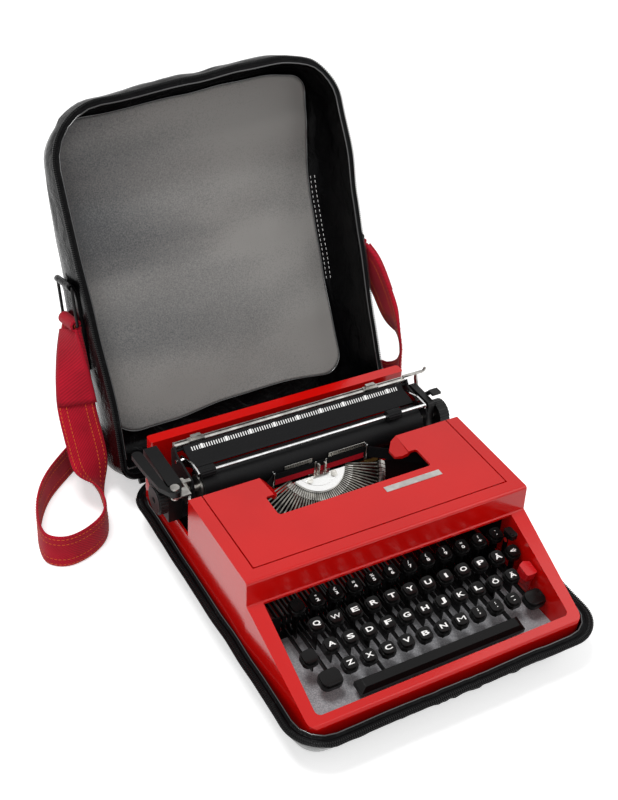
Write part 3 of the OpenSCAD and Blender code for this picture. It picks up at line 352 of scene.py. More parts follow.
def finish_node(thing, material, edge):
    thing.data.materials.clear()
    thing.data.materials.append(material)
    for face in thing.data.polygons:
        face.use_smooth = True
    if not edge:
        return
    weld = thing.modifiers.new("weld", "WELD")
    weld.merge_threshold = 0.01 * MM
    soften = thing.modifiers.new("soften", "BEVEL")
    soften.width = edge * MM
    soften.segments = 3
    soften.limit_method = "ANGLE"
    soften.angle_limit = math.radians(35)
    soften.harden_normals = False
    soften.use_clamp_overlap = True
    level = thing.modifiers.new("level", "WEIGHTED_NORMAL")
    level.keep_sharp = False


def finish_nodes():
    for material, edges in FINISHES:
        for name, edge in edges.items():
            finish_node(nodes[name], material, edge)


finish_nodes()


# Making of pieces, from points in millimetres

def clamped(value):
    return max(0.0, min(1.0, value))


def ripple(p, size, height, seed=0.0):
    """Smooth noise of the given size and height in millimetres."""
    return height * noise.noise(Vector(p) / size + Vector((seed, 3.1 * seed, 7.7)))


def eased(keys, t):
    """Value at t of a list of (place, value), eased between neighbours."""
    for (t0, v0), (t1, v1) in zip(keys, keys[1:]):
        if t <= t1:
            share = max(0.0, (t - t0) / (t1 - t0))
            return v0 + (v1 - v0) * share * share * (3 - 2 * share)
    return keys[-1][1]


def new_piece(name, verts, faces, material, body, smooth=True):
    """One mesh piece, its points already in metres, that rides on a body."""
    mesh = bpy.data.meshes.new(name)
    mesh.from_pydata([tuple(v) for v in verts], [], faces)
    mesh.update()
    for face in mesh.polygons:
        face.use_smooth = smooth
    mesh.materials.append(material)
    thing = put_in_scene(name, mesh)
    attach(thing, body)
    return thing


def grid_faces(rows, count, around=True):
    """Faces between neighbouring rows of count points, all round or with the side left open."""
    return [(i * count + j, i * count + (j + 1) % count, (i + 1) * count + (j + 1) % count, (i + 1) * count + j)
            for i in range(rows - 1) for j in range(count if around else count - 1)]


def skin_faces(rows, count, open_start=False):
    """Faces of a skin round rows of count points, with a cap on its last row and, unless left open, on its first."""
    start = [] if open_start else [tuple(reversed(range(count)))]
    return grid_faces(rows, count) + start + [tuple(range((rows - 1) * count, rows * count))]


def face_outwards(piece):
    """Turns all faces of a closed piece outwards."""
    shape = bmesh.new()
    shape.from_mesh(piece.data)
    bmesh.ops.recalc_face_normals(shape, faces=shape.faces)
    shape.to_mesh(piece.data)
    shape.free()


def shell_from_loops(name, loops, material, body, open_start=False):
    """Closed piece through equal loops of points."""
    verts = [Vector(p) * MM for loop in loops for p in loop]
    piece = new_piece(name, verts, skin_faces(len(loops), len(loops[0]), open_start), material, body)
    face_outwards(piece)
    return piece


def add_part(verts, faces, points, pattern):
    """Adds one small solid to a mesh being listed: its points, and faces that count from the first of them."""
    start = len(verts)
    verts += [p * MM for p in points]
    faces += [tuple(start + k for k in face) for face in pattern]


def add_stitch(verts, faces, place, half, side, up, lowest=-math.inf):
    """Adds one raised stitch: a foot reaching half and side both ways, and a tip, none below the lowest height."""
    points = [place - half - side, place + half - side, place + half + side, place - half + side, place + up]
    for p in points:
        p.z = max(p.z, lowest)
    add_part(verts, faces, points, ((0, 1, 4), (1, 2, 4), (2, 3, 4), (3, 0, 4), (3, 2, 1, 0)))


def tooth_row(name, places, body, size):
    """Moulded zip teeth: one chamfered block at each (centre, along, across, up)."""
    verts, faces = [], []
    length, width, height = size
    for centre, along, across, up in places:
        points = [centre + along * sa * length / 2 * shrink + across * sb * width / 2 * shrink + up * height * level
                  for level, shrink in ((0.0, 1.0), (0.6, 1.0), (1.0, 0.6))
                  for sa, sb in ((-1, -1), (1, -1), (1, 1), (-1, 1))]
        add_part(verts, faces, points, skin_faces(3, 4))
    new_piece(name, verts, faces, ZIP_TOOTH, body, smooth=False)


def tube(name, path, radius, material, body, closed=False):
    """Round bar or cord along a path."""
    curve = bpy.data.curves.new(name, "CURVE")
    curve.dimensions = "3D"
    curve.bevel_depth = radius * MM
    curve.bevel_resolution = 3
    curve.use_fill_caps = True
    curve.materials.append(material)
    spline = curve.splines.new("POLY")
    spline.points.add(len(path) - 1)
    for point, p in zip(spline.points, path):
        point.co = (*(Vector(p) * MM), 1.0)
    spline.use_cyclic_u = closed
    spline.use_smooth = True
    thing = put_in_scene(name, curve)
    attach(thing, body)
    return thing


def thicken(piece, thickness, offset=0.0):
    """Gives an open sheet its thickness: offset 0 is to both sides, -1 inwards."""
    solid = piece.modifiers.new("thickness", "SOLIDIFY")
    solid.thickness = thickness * MM
    solid.offset = offset


def lay_along(piece, places):
    """Map of a webbing piece in metres, (along, across) for each point, which its twill follows."""
    layer = piece.data.uv_layers.new(name="along")
    for loop in piece.data.loops:
        layer.data[loop.index].uv = places[loop.vertex_index]


def round_outline(low, high, radii, rows, arc=12):
    """Points (a, b, outward a, outward b) round a rectangle: corner radii, and how many steps each side takes."""
    (a0, b0), (a1, b1) = low, high
    points = []
    for (ca, cb, start), r in zip(((a0, b0, 180), (a1, b0, 270), (a1, b1, 0), (a0, b1, 90)), radii):
        ma = ca + r if ca == a0 else ca - r
        mb = cb + r if cb == b0 else cb - r
        for j in range(arc + 1):
            t = math.radians(start + 90.0 * j / arc)
            points.append((ma + r * math.cos(t), mb + r * math.sin(t), math.cos(t), math.sin(t)))
    full = []
    for i, p in enumerate(points):
        q = points[(i + 1) % len(points)]
        full.append(p)
        extra = rows[i // (arc + 1)] if i % (arc + 1) == arc else 0
        for k in range(1, extra):
            t = k / extra
            full.append((p[0] + (q[0] - p[0]) * t, p[1] + (q[1] - p[1]) * t, p[2], p[3]))
    return full


def along_outline(points, pitch, start=0.0):
    """Evenly spaced (place, outward, along) round an outline."""
    spots = []
    carry = start
    for i, p in enumerate(points):
        q = points[(i + 1) % len(points)]
        a, b = Vector(p[:2]), Vector(q[:2])
        gap = (b - a).length
        while carry < gap:
            t = carry / gap
            out = Vector(p[2:]).lerp(Vector(q[2:]), t).normalized()
            spots.append((a.lerp(b, t), out, Vector((-out.y, out.x))))
            carry += pitch
        carry -= gap
    return spots


def shrink_loops(loop, shares, swell=None):
    """Loops that close a flat end in steps towards its middle; swell gives each point's shift."""
    middle = sum((Vector(p) for p in loop), Vector()) / len(loop)
    rings = []
    for share in shares:
        ring = [Vector(p).lerp(middle, share) for p in loop]
        rings.append([q + swell(q) if swell else q for q in ring])
    return rings


# Tray of the zip case, of black leathercloth

CASE_W = 310.0
ZIP_PITCH = 2.0
REAR_RIM = 33.9


def tray_line(share):
    """Outline of the tray at a share of the way up from its narrow foot to its rim."""
    half, front, rear = 137 + 18 * share, -157 - 23 * share, 168 + 12 * share
    low, high = 20 + 16 * share, 10 + 26 * share
    return round_outline((-half, front), (half, rear), (low, low, high, high), (150, 76, 50, 76))


# Share of the height, distance outwards and height of the tray: wall, zip edge and sewn seam, inside
TRAY_WALL = [(0, -8, 0.3), (0, -2, 0.3), (0.02, -0.5, 1.2), (0.1, 0, 4), (0.25, 0.3, 9.5), (0.45, 0.2, 17),
             (0.62, -0.4, 24), (0.78, -1.3, 30), (0.9, -2.2, 34), (0.97, -1.8, 36), (1, -0.6, 36.6), (1, 0.8, 37.2)]
TRAY_RIM = [(1, 1.2, 38.1), (1, 0.7, 38.9), (1, -1.6, 39.0), (1, -2.8, 38.5), (1, -3.6, 39.2), (1, -4.4, 39.7),
            (1, -5.2, 39.2), (1, -6.0, 38.4), (1, -7.0, 38.7), (1, -8.0, 39.9), (1, -8.8, 40.1), (1, -9.5, 39.5),
            (1, -9.6, 38.5), (1, -8.4, 37.8), (1, -6.2, 37.4)]
TRAY_INSIDE = [(0.95, -4.4, 35), (0.8, -2.8, 31), (0.6, -2.6, 24), (0.2, -2.6, 9), (0.06, -2.6, 3.4), (0, -9, 2.7)]


def at_hinge(a, b):
    """Whether a place on the tray's outline is on the low rear edge that the lid is hinged to."""
    return b > 160 and abs(a) < 128


def gathered(a):
    """Share of the gathers along the front, the most a little right of its middle."""
    return math.exp(-((a - 20) / 80.0) ** 2)


def rim_slack(a, b):
    """Outward and upward slack of the tray's rim."""
    gather = gathered(a) if b < -150 else 0.0
    push = ripple((a, b, 0), 34, 0.9, 2.0) + 0.9 * gather * ripple((a, b, 0), 9, 1.0, 5.0)
    return push, ripple((a, b, 0), 46, 0.8, 9.0)


def tray_point(a, b, na, nb, part, share, out, z):
    """A point of the tray's skin, in its wall, rim or inside."""
    hinged = at_hinge(a, b)
    push, lift = rim_slack(a, b)
    if part == "wall":
        front, upper = clamped((-110 - b) / 50.0), min(1.0, z / 30.0)
        push = push * share + upper * (ripple((a, b, 2.2 * z), 15, 0.5 + 0.7 * front, 4.0)
                                       + gathered(a) * front * ripple((a, 0.4 * b, 0.35 * z), 5.5, 1.3, 6.0))
    elif part == "inside":
        push = 0.0
    if part != "rim" or hinged:
        lift = 0.0
    height = min(z, 33.4 + 0.02 * z) if hinged else z
    return a + na * (out + push), b + nb * (out + push), max(0.3, height + lift)


def make_tray():
    loops = [[tray_point(*p, part, *row) for p in tray_line(row[0])]
             for part, rows in (("wall", TRAY_WALL), ("rim", TRAY_RIM), ("inside", TRAY_INSIDE)) for row in rows]
    tray = shell_from_loops("tray_shell", loops, VINYL, MACHINE)
    # The wall under the rim is stretched, and shinier than the rest
    tray.data.materials.append(VINYL_TAUT)
    for face in tray.data.polygons[:(len(TRAY_WALL) - 2) * len(loops[0])]:
        face.material_index = 1
    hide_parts("case_tray", "tray_zip")
    path = []
    for a, b, na, nb in tray_line(1)[::3]:
        push, lift = rim_slack(a, b)
        inset = push - 8.9
        path.append((a + na * inset, b + nb * inset, REAR_RIM if at_hinge(a, b) else 40.0 + lift))
    tube("tray_welt", path, 0.75, WELT, MACHINE, closed=True)
    spots = []
    for row, offset in ((0.6, 0.0), (-2.2, ZIP_PITCH / 2)):
        for spot, out, along in along_outline(tray_line(1), ZIP_PITCH, offset):
            if spot.y > 158:
                continue
            push, lift = rim_slack(spot.x, spot.y)
            centre = Vector((spot.x, spot.y, 38.6 + lift)) + out.to_3d() * (row + push)
            spots.append((centre, along.to_3d(), out.to_3d(), Vector((0, 0, 1))))
    tooth_row("tray_zip_teeth", spots, MACHINE, (1.1, 2.3, 1.0))


# Lid of the zip case. Its own places are x, depth from the mouth towards the back, and height from the hinge

LID_HALF, LID_TALL = CASE_W / 2, 365.0
HINGE = Vector((0.0, 181.0, 40.0))
LEAN = math.radians(29.5)
LID_TURN = Matrix.Rotation(-LEAN, 3, "X")

# How far the sides and the upper edge of the soft lid have moved from their pattern, by height and by place
SIDE_LEFT = [(0, 0), (80, 4.0), (160, 1.8), (225, 0), (365, 0)]
SIDE_RIGHT = [(0, -2), (40, -7.5), (95, -6.5), (180, -1.5), (225, 0), (275, 4.0), (320, 2.5), (365, 0)]
TOP_RISE = [(-150, -1), (-92, 0), (0, 6), (55, 10.5), (95, 12), (130, 7), (155, 3)]
# Share of its depth that the lid keeps towards its top, where it has sunk in
DEPTH_LEFT = [(0, 1), (190, 1), (260, 0.84), (320, 0.64), (375, 0.5)]
DEPTH_RIGHT = [(0, 1), (265, 1), (320, 0.78), (375, 0.5)]

# Distance outwards and depth: rounded back edge, wall, seam and zip, then the inside from the mouth to the back
LID_OUTSIDE = [(-34, 80.4), (-24, 80.0), (-17, 78.4), (-11, 74.6), (-6.5, 69.5), (-3.2, 63), (-1.2, 55), (-0.2, 46),
               (0.3, 38), (0.5, 30), (0.5, 22), (0.4, 14), (0.2, 8), (0.1, 4.6), (0.5, 3.4), (1.5, 2.5), (1.5, 1.3),
               (0.6, 0.6), (0.4, -0.4), (0.0, -1.2), (-1.6, -1.3), (-2.6, -0.8), (-3.4, -1.2), (-4.4, -1.7),
               (-5.4, -1.3), (-5.9, -0.4), (-5.3, 0.6), (-4.0, 1.4)]
LID_INSIDE = [(-3.6, 4), (-3.4, 14), (-3.4, 26), (-3.4, 36), (-3.8, 46), (-5.2, 55), (-7.4, 62), (-10.4, 67.6),
              (-14, 71.6), (-18.5, 74.8), (-24, 76.8), (-32, 77.6)]


def on_lid(p):
    """A point of the upright lid in the machine's frame."""
    return HINGE + LID_TURN @ Vector(p)


def lid_place(x, depth, u):
    """A point of the lid after its slack, in the machine's frame."""
    side = x / LID_HALF
    rise = eased(TOP_RISE, x) * max(0.0, u / LID_TALL) ** 4
    share = clamped((side + 1) / 2)
    scale = eased(DEPTH_LEFT, u) * (1 - share) + eased(DEPTH_RIGHT, u) * share
    shift = eased(SIDE_RIGHT if x > 0 else SIDE_LEFT, u) * abs(side) ** 3
    return on_lid((x + shift, depth * scale, u + rise))


def lid_push(a, u, depth, inside):
    """How far the stuffed walls of the lid stand out."""
    if not 2 < depth < 74:
        return 0.0
    belly = math.sin(math.pi * clamped(depth / 80.0))
    if u > 350:
        push = 5.0 * math.cos(a / 130.0)
    else:
        push = 0.0 if u < 20 else 2.6 * math.sin(math.pi * clamped((u - 40) / 330.0))
    push *= belly * (0.8 if inside else 1.0)
    fold = 0.3 if u < 16 else 1.0
    push += fold * belly * (ripple((a, u, depth), 55, 2.0, 1.0) + ripple((a, 0.6 * u, 2.0 * depth), 22, 1.6, 5.0))
    if inside:
        push += fold * belly * ripple((a, 0.8 * u, 2.4 * depth), 11, 0.8, 8.0)
    return min(push, 0.2) if u < 12 else push


def rim_shift(a, u):
    """How far the lid's rim waves back and forth."""
    return ripple((a, u, 0), 70, 1.4, 6.0) if u > 20 else 0.0


def lid_point(a, u, na, nu, inside, out, depth):
    """A point of the lid's skin: its rounded back edge is narrower at the top and the foot than at the sides."""
    reach = out if out > -4 else -4 + (out + 4) * (1 - 0.4 * abs(nu))
    reach += lid_push(a, u, depth, inside)
    shift = rim_shift(a, u) if depth < 6 else 0.0
    return lid_place(a + na * reach, depth + shift, u + nu * reach)


def back_swell(q):
    """Shift of the back panel: bowed out in the middle, and slack like the rest."""
    bow = 1.2 * max(0.0, 1 - (q.x / 121) ** 2) * max(0.0, 1 - ((q.z - 184) / 155) ** 2)
    return Vector((0, bow + ripple(q, 60, 1.2, 3.0), 0))


def lid_panel(line, depth, shares, swell=None):
    """Flat middle of the lid's back within its rounded edge, as loops from the line towards the middle."""
    edge = [(a - 34 * na, depth, u - 26 * nu) for a, u, na, nu in line]
    return [[lid_place(*p) for p in ring] for ring in shrink_loops(edge, shares, swell)]


def make_lid():
    line = round_outline((-LID_HALF, 3), (LID_HALF, LID_TALL), (14, 14, 38, 58), (60, 80, 70, 80))
    skin = [[lid_point(*p, inside, out, depth) for p in line]
            for inside, rows in ((False, LID_OUTSIDE), (True, LID_INSIDE)) for out, depth in rows]
    back = lid_panel(line, 80.4, (0.97, 0.9, 0.8, 0.7, 0.6, 0.5, 0.4, 0.3, 0.2, 0.1), back_swell)
    front = lid_panel(line, 77.8, (0.1, 0.25, 0.45, 0.7, 0.9))
    lid = shell_from_loops("lid_shell", back + skin + front, VINYL, "lid")
    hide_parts("case_lid", "lid_zip")
    path = [lid_place(a - 5.0 * na, -1.0 + rim_shift(a, u), u - 5.0 * nu) for a, u, na, nu in line[::2] if u > 12]
    tube("lid_welt", path, 0.8, WELT, "lid")
    spots = []
    for spot, out, along in along_outline(line, ZIP_PITCH):
        if spot.y < 14:
            continue
        centre = lid_place(spot.x + 0.7 * out.x, -0.2 + rim_shift(spot.x, spot.y), spot.y + 0.7 * out.y)
        spots.append((centre, LID_TURN @ Vector((along.x, 0, along.y)), LID_TURN @ Vector((out.x, 0, out.y)),
                      LID_TURN @ Vector((0, -1, 0))))
    tooth_row("lid_zip_teeth", spots, "lid", (1.1, 2.4, 1.4))


# Lining of the lid: how it bows down at its foot, and comes forward at its right edge and left upper corner

LINING_LOW, LINING_HIGH = (-138, 34), (138, 353)
LINING_MIDDLE, LINING_DEPTH = 193.5, 71.6
LINING_BOW = [(-130, 0), (-70, 1), (0, 7.5), (62, 9.5), (138, 5)]
LINING_FORWARD = [(34, 10), (95, 7), (150, 1), (250, 0), (285, 4), (353, 14)]
LINING_CORNER = [(296, 0), (338, 6.5)]


def lining_place(a, u):
    """A point of the lining's face, with its shallow slack folds, in the machine's frame."""
    slack = 1.6 * math.sin((u - 0.45 * a) / 24.0 + a / 90.0)
    slack += ripple((a, u, 0), 70, 3.0, 11.0) + ripple((a, u, 0), 28, 0.8, 12.0)
    right, corner = clamped((a - 40) / 98.0), clamped((-a - 96) / 30.0)
    forward = eased(LINING_FORWARD, u) * right * right + eased(LINING_CORNER, u) * corner
    edge = clamped((abs(a) - 118) / 20.0)
    bow = eased(LINING_BOW, a) * max(0.0, (LINING_MIDDLE - u) / 160.0) ** 2
    return lid_place(a, LINING_DEPTH + edge - forward + 0.85 * slack * (1 - edge), u + bow)


def make_lining():
    line = round_outline(LINING_LOW, LINING_HIGH, (34, 24, 16, 30), (46, 54, 46, 54))
    shares = [0, 0.015, 0.04, 0.07, *(percent / 100 for percent in range(10, 95, 4)), 0.985]
    rings = [[lining_place(a * (1 - share), u + (LINING_MIDDLE - u) * share) for a, u, na, nu in line]
             for share in shares]
    cloth = shell_from_loops("lid_lining_cloth", rings, LINING, "lid", open_start=True)
    thicken(cloth, 0.8)
    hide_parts("lid_lining")
    # Bound edge: a vinyl cord sewn round the lining
    edge = [lining_place(a + 0.8 * na, u + 0.8 * nu) for a, u, na, nu in line]
    tube("lining_binding", edge, 1.1, WELT, "lid", closed=True)
    # Two rows of stitches beside the lining's right edge, each stitch 2.6 mm long, coloured white as painted glints of
    # light on the dark thread
    verts, faces = [], []
    for aside, back in ((3.4, -0.9), (6.6, -4.42)):
        for i in range(22):
            place = lining_place(138, 142 + 5.2 * i) + LID_TURN @ Vector((aside, back, 0))
            add_stitch(verts, faces, place, Vector((0.3, 0, 0)), LID_TURN @ Vector((0, 0, 1.3)),
                       LID_TURN @ Vector((0, -0.5, 0)))
    new_piece("lining_stitches_painted_glint", verts, faces, LEGEND, "lid", smooth=False)


# Wire rings for the strap: side, place of the upper bar, width, height, turn, and the tab's width and lower end

LEFT_RING = {"side": -1, "depth": 33.0, "height": 202.0, "wide": 42.0, "tall": 40.0, "turn": math.radians(13.5),
             "tab_wide": 42.0, "tab_low": -86}
RIGHT_RING = {"side": 1, "depth": 26.0, "height": 188.0, "wide": 30.0, "tall": 42.0, "turn": LEAN,
              "tab_wide": 26.0, "tab_low": -44}
RING_X = CASE_W / 2 + 6
RING_WIRE, RING_BEND = 1.6, 3.0


def on_ring(ring, p):
    """A point given from the middle of the ring's upper bar, in the machine's frame."""
    turned = Matrix.Rotation(ring["turn"], 3, "X") @ Vector(p)
    return on_lid(Vector((ring["side"] * RING_X, ring["depth"], ring["height"])) + turned)


def make_tab(name, ring):
    """Folded vinyl tab sewn to the lid wall, with the ring's upper bar in its fold."""
    side, half, low = ring["side"], ring["tab_wide"] / 2, ring["tab_low"]
    fold = [math.radians(a) for a in range(-140, 121, 20)]
    section = [(-5.0 * side, low), (-4.9 * side, 0.6 * low), (-4.6 * side, -14), (-3.4 * side, -6)]
    section += [(side * 2.9 * math.cos(a), 2.9 * math.sin(a)) for a in fold]
    section += [(-5.2 * side, -5), (-5.8 * side, -14), (-5.8 * side, 0.6 * low), (-5.8 * side, low)]
    rows = 9
    verts = []
    for i in range(rows):
        y = -half + 2 * half * i / (rows - 1)
        verts += [on_ring(ring, (x, y, z + ripple((x, y, z), 9, 0.4, side))) * MM for x, z in section]
    tab = new_piece(name + "_ring_tab", verts, grid_faces(rows, len(section), around=False), VINYL, "lid")
    thicken(tab, 1.1)


def make_rings():
    for name, ring in (("left", LEFT_RING), ("right", RIGHT_RING)):
        across, tall = ring["wide"] / 2 - RING_BEND, ring["tall"] - RING_BEND
        path = []
        for cy, cz, start in ((across, -RING_BEND, 0), (-across, -RING_BEND, 90), (-across, -tall, 180),
                              (across, -tall, 270)):
            for j in range(7):
                t = math.radians(start + 15 * j)
                path.append(on_ring(ring, (0, cy + RING_BEND * math.cos(t), cz + RING_BEND * math.sin(t))))
        wire = tube(name + "_strap_ring", path, RING_WIRE, FITTING_BLACK, "lid", closed=True)
        if name == "left":
            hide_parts("strap_rings")
        make_tab(name, ring)


# Shoulder strap of webbing: centre, direction of its width, and how many layers thick it is

STRAP_W, STRAP_HALF_T = 38.0, 0.42 * 2.6
FLAT = (0, 0, -1)
STRAP_ROUTE = [
    ((-168, 279, 128), (0.5, -0.8, 0.25), 2), ((-174.5, 257, 92), (0.87, -0.48, 0.05), 2),
    ((-174.5, 235, 55), (0.85, -0.45, -0.3), 1), ((-176, 212, 30), (0.5, -0.3, -0.8), 1),
    ((-177, 183, 20.5), (0.1, -0.1, -1), 1), ((-187, 157, 19.3), FLAT, 1), ((-208, 142, 19.3), FLAT, 1),
    ((-232, 138, 19.3), FLAT, 1), ((-248, 150, 19.3), FLAT, 1), ((-247, 175, 19.3), FLAT, 1),
    ((-236, 205, 19.3), FLAT, 1), ((-218, 232, 19.3), FLAT, 1), ((-192, 256, 19.3), FLAT, 1),
    ((-160, 279, 19.3), FLAT, 1), ((-125, 292, 19.3), FLAT, 1), ((-60, 297, 19.3), FLAT, 1),
    ((20, 298, 19.3), FLAT, 1), ((100, 295, 19.3), FLAT, 1), ((150, 284, 19.3), FLAT, 1),
    ((182, 264, 19.9), FLAT, 1), ((191, 242, 24), (0, -0.4, -0.9), 1), ((186, 221, 44), (-0.3, -0.7, -0.6), 1),
    ((177, 209, 75), (-0.55, -0.82, -0.1), 1), ((172, 210, 105), (-0.45, -0.85, 0.3), 1),
    ((169, 227, 127), (-0.1, -0.72, 0.68), 2), ((167, 246, 147), (0, -0.66, 0.75), 2),
    ((164, 265, 163.5), (0.05, -0.42, 0.91), 2),
]
# The bars that the strap's ends wrap, given on their rings: the left one's lower bar, the right one's front bar
LEFT_BAR = (0, 0, -LEFT_RING["tall"])
RIGHT_BAR = (0, -RIGHT_RING["wide"] / 2, -RIGHT_RING["tall"] / 2)


def smooth_between(a, b, c, d, t):
    """Catmull-Rom curve from b to c at share t."""
    return 0.5 * (2 * b + (c - a) * t + (2 * a - 5 * b + 4 * c - d) * t * t + (3 * b - a - 3 * c + d) * t * t * t)


def strap_sections(steps):
    """(centre, direction of the width, layers) along the strap, in this many steps between the route's points."""
    turn = Matrix.Rotation(LEFT_RING["turn"] - LEAN, 3, "X")
    keys = [(on_ring(LEFT_RING, LEFT_BAR), turn @ Vector((0, -1, 0)), 2.2)]
    keys += [(Vector(p), Vector(w), k) for p, w, k in STRAP_ROUTE]
    keys.append((on_ring(RIGHT_RING, RIGHT_BAR), Vector((0, 0, 1)), 2.2))
    last = len(keys) - 1
    sections = []
    for i in range(last):
        four = [keys[max(i - 1, 0)], keys[i], keys[i + 1], keys[min(i + 2, last)]]
        for j in range(steps):
            sections.append([smooth_between(*[k[m] for k in four], j / steps) for m in range(3)])
    return sections + [list(keys[last])]


def strap_frames():
    """(centre, ahead, across, direction of the thickness, layers) at each section of the strap."""
    sections = strap_sections(8)
    last = len(sections) - 1
    frames = []
    for i, (centre, across, layers) in enumerate(sections):
        ahead = (sections[min(i + 1, last)][0] - sections[max(i - 1, 0)][0]).normalized()
        across = (across - ahead * across.dot(ahead)).normalized()
        frames.append((centre, ahead, across, ahead.cross(across), layers))
    return frames


def cupping(share):
    """Height of the strap's face across its width, in which the woven bands stand out."""
    return 0.3 * math.cos(9.0 * share)


def make_band(frames):
    """The strap as one closed skin, rounded at its edges, that lies on the table and not in it."""
    shares = (-1, -0.96, -0.8, -0.62, -0.3, 0, 0.3, 0.62, 0.8, 0.96, 1)
    verts, places, length = [], [], 0.0
    for i, (centre, ahead, across, thick, layers) in enumerate(frames):
        if i:
            length += (centre - frames[i - 1][0]).length
        for side in (1, -1):
            for share in shares[::side]:
                edge = 0.35 if abs(share) == 1 else 1.0 if abs(share) > 0.75 else 0.86
                wave = 0.6 * ripple((length, 40 * share, 0), 46, 0.9, 3.0) + cupping(share)
                p = centre + across * (share * STRAP_W / 2) + thick * (side * STRAP_HALF_T * layers * edge + wave)
                p.z = max(p.z, 0.4)
                verts.append(p * MM)
                places.append((length * MM, share * STRAP_W / 2 * MM))
    band = new_piece("shoulder_strap", verts, skin_faces(len(frames), 2 * len(shares)), WEBBING, "lid")
    lay_along(band, places)
    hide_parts("strap")


def make_fold(name, ring, bar, upright):
    """The strap's end wrapped round its bar, which stands upright on the ring or lies across it."""
    verts, rows, turns = [], 12, 20
    for i in range(rows + 1):
        s = (i / rows - 0.5) * (STRAP_W - 0.6)
        for j in range(turns):
            c, d = math.cos(2 * math.pi * j / turns), math.sin(2 * math.pi * j / turns)
            r = 4.3 + ripple((10 * c, 10 * d, s), 12, 0.35, 2.0)
            off = Vector((r * c, r * d, s)) if upright else Vector((r * c, s, r * d))
            verts.append(on_ring(ring, Vector(bar) + off) * MM)
    fold = new_piece(name, verts, grid_faces(rows + 1, turns), WEBBING, "lid")
    lay_along(fold, [(k % turns * 1.4 * MM, k // turns * 3.2 * MM) for k in range(len(verts))])
    thicken(fold, 2.0, -1.0)


def make_flap(name, frames, skew):
    """Second layer of webbing laid on the strap, a little wider and skewed at its cut end."""
    verts, faces, places, last = [], [], [], len(frames) - 1
    for i, (centre, ahead, across, thick, layers) in enumerate(frames):
        turn = i / last if centre.x < 0 else 1 - i / last
        for j, share in enumerate((-1, -0.8, 0, 0.8, 1)):
            for lift in (0.2, 1.7):
                bulge = STRAP_HALF_T * layers + lift + cupping(share)
                verts.append((centre + across * (share * 19.3 - skew * turn) + thick * bulge) * MM)
                places.append((i * 5.5 * MM, j * 9.5 * MM))
    # Each section has ten points, low and high by turns. Both faces and the two edges, then the cut ends
    for a in range(0, 10 * last, 10):
        for k in range(a, a + 8, 2):
            faces += [(k, k + 2, k + 12, k + 10), (k + 1, k + 11, k + 13, k + 3)]
        faces += [(a, a + 10, a + 11, a + 1), (a + 9, a + 19, a + 18, a + 8)]
    for a in (0, 10 * last):
        faces += [(k, k + 1, k + 3, k + 2) for k in range(a, a + 8, 2)]
    flap = new_piece(name, verts, faces, WEBBING, "lid")
    face_outwards(flap)
    lay_along(flap, places)


def make_stitching(frames):
    """Orange lockstitch in four rows along the strap, on both faces, every 4 mm."""
    verts, faces = [], []
    run = 0.0
    for (c0, _, a0, t0, k0), (c1, _, a1, t1, k1) in zip(frames, frames[1:]):
        gap = (c1 - c0).length
        ahead = (c1 - c0).normalized()
        while run < gap:
            s = run / gap
            centre, across, thick = c0.lerp(c1, s), a0.lerp(a1, s).normalized(), t0.lerp(t1, s).normalized()
            half_t = STRAP_HALF_T * (k0 + (k1 - k0) * s) + 0.15
            for share in (-0.84, -0.5, 0.5, 0.84):
                for side in (1, -1):
                    place = centre + across * (share * STRAP_W / 2) + thick * (side * half_t + cupping(share))
                    add_stitch(verts, faces, place, ahead * 1.3, across * 0.35, thick * side * 0.35, lowest=0.3)
            run += 4.0
        run -= gap
    new_piece("strap_stitching", verts, faces, THREAD, "lid", smooth=False)


def make_strap():
    frames = strap_frames()
    make_band(frames)
    make_fold("left_strap_fold", LEFT_RING, LEFT_BAR, upright=False)
    make_fold("right_strap_fold", RIGHT_RING, RIGHT_BAR, upright=True)
    make_stitching(frames)
    # The doubled ends, cut square, on the outer face
    make_flap("left_strap_flap", frames[2:17], -2.0)
    make_flap("right_strap_flap", frames[-19:-2], 3.0)


def make_hinge_welt():
    """Vinyl that joins tray and lid, folded into a welt along the hinge line."""
    path = [(x, HINGE.y + ripple((x, 0, 0), 30, 0.4), HINGE.z - 0.6) for x in range(-141, 142, 6)]
    tube("hinge_welt", path, 3.0, VINYL, MACHINE)


make_tray()
make_lid()
make_lining()
make_rings()
make_strap()
make_hinge_welt()


# Key legends: white moulded letters sunk in the dished tops, joined to one mesh per key body

PITCH = 19.0
# Top of each row's first key, and of the backspace key
ROW_1 = (-77.4, -59.7, 72.8)
ROW_2 = (-87.2, -78.4, 63.6)
ROW_3 = (-82.6, -97.0, 54.8)
ROW_4 = (-74.0, -115.6, 46.0)
BACKSPACE = (120.6, -78.4, 63.6)
KEY_TURN = Matrix.Rotation(math.radians(10), 3, "X")
DISH_R, DISH_DEEP = 24.0, 0.9
LETTER_TALL = 6.2
# Letters that are wider or narrower than the rest, by share
LETTER_WIDTH = {"W": 1.3, "M": 1.18, "I": 0.34, "J": 0.85}


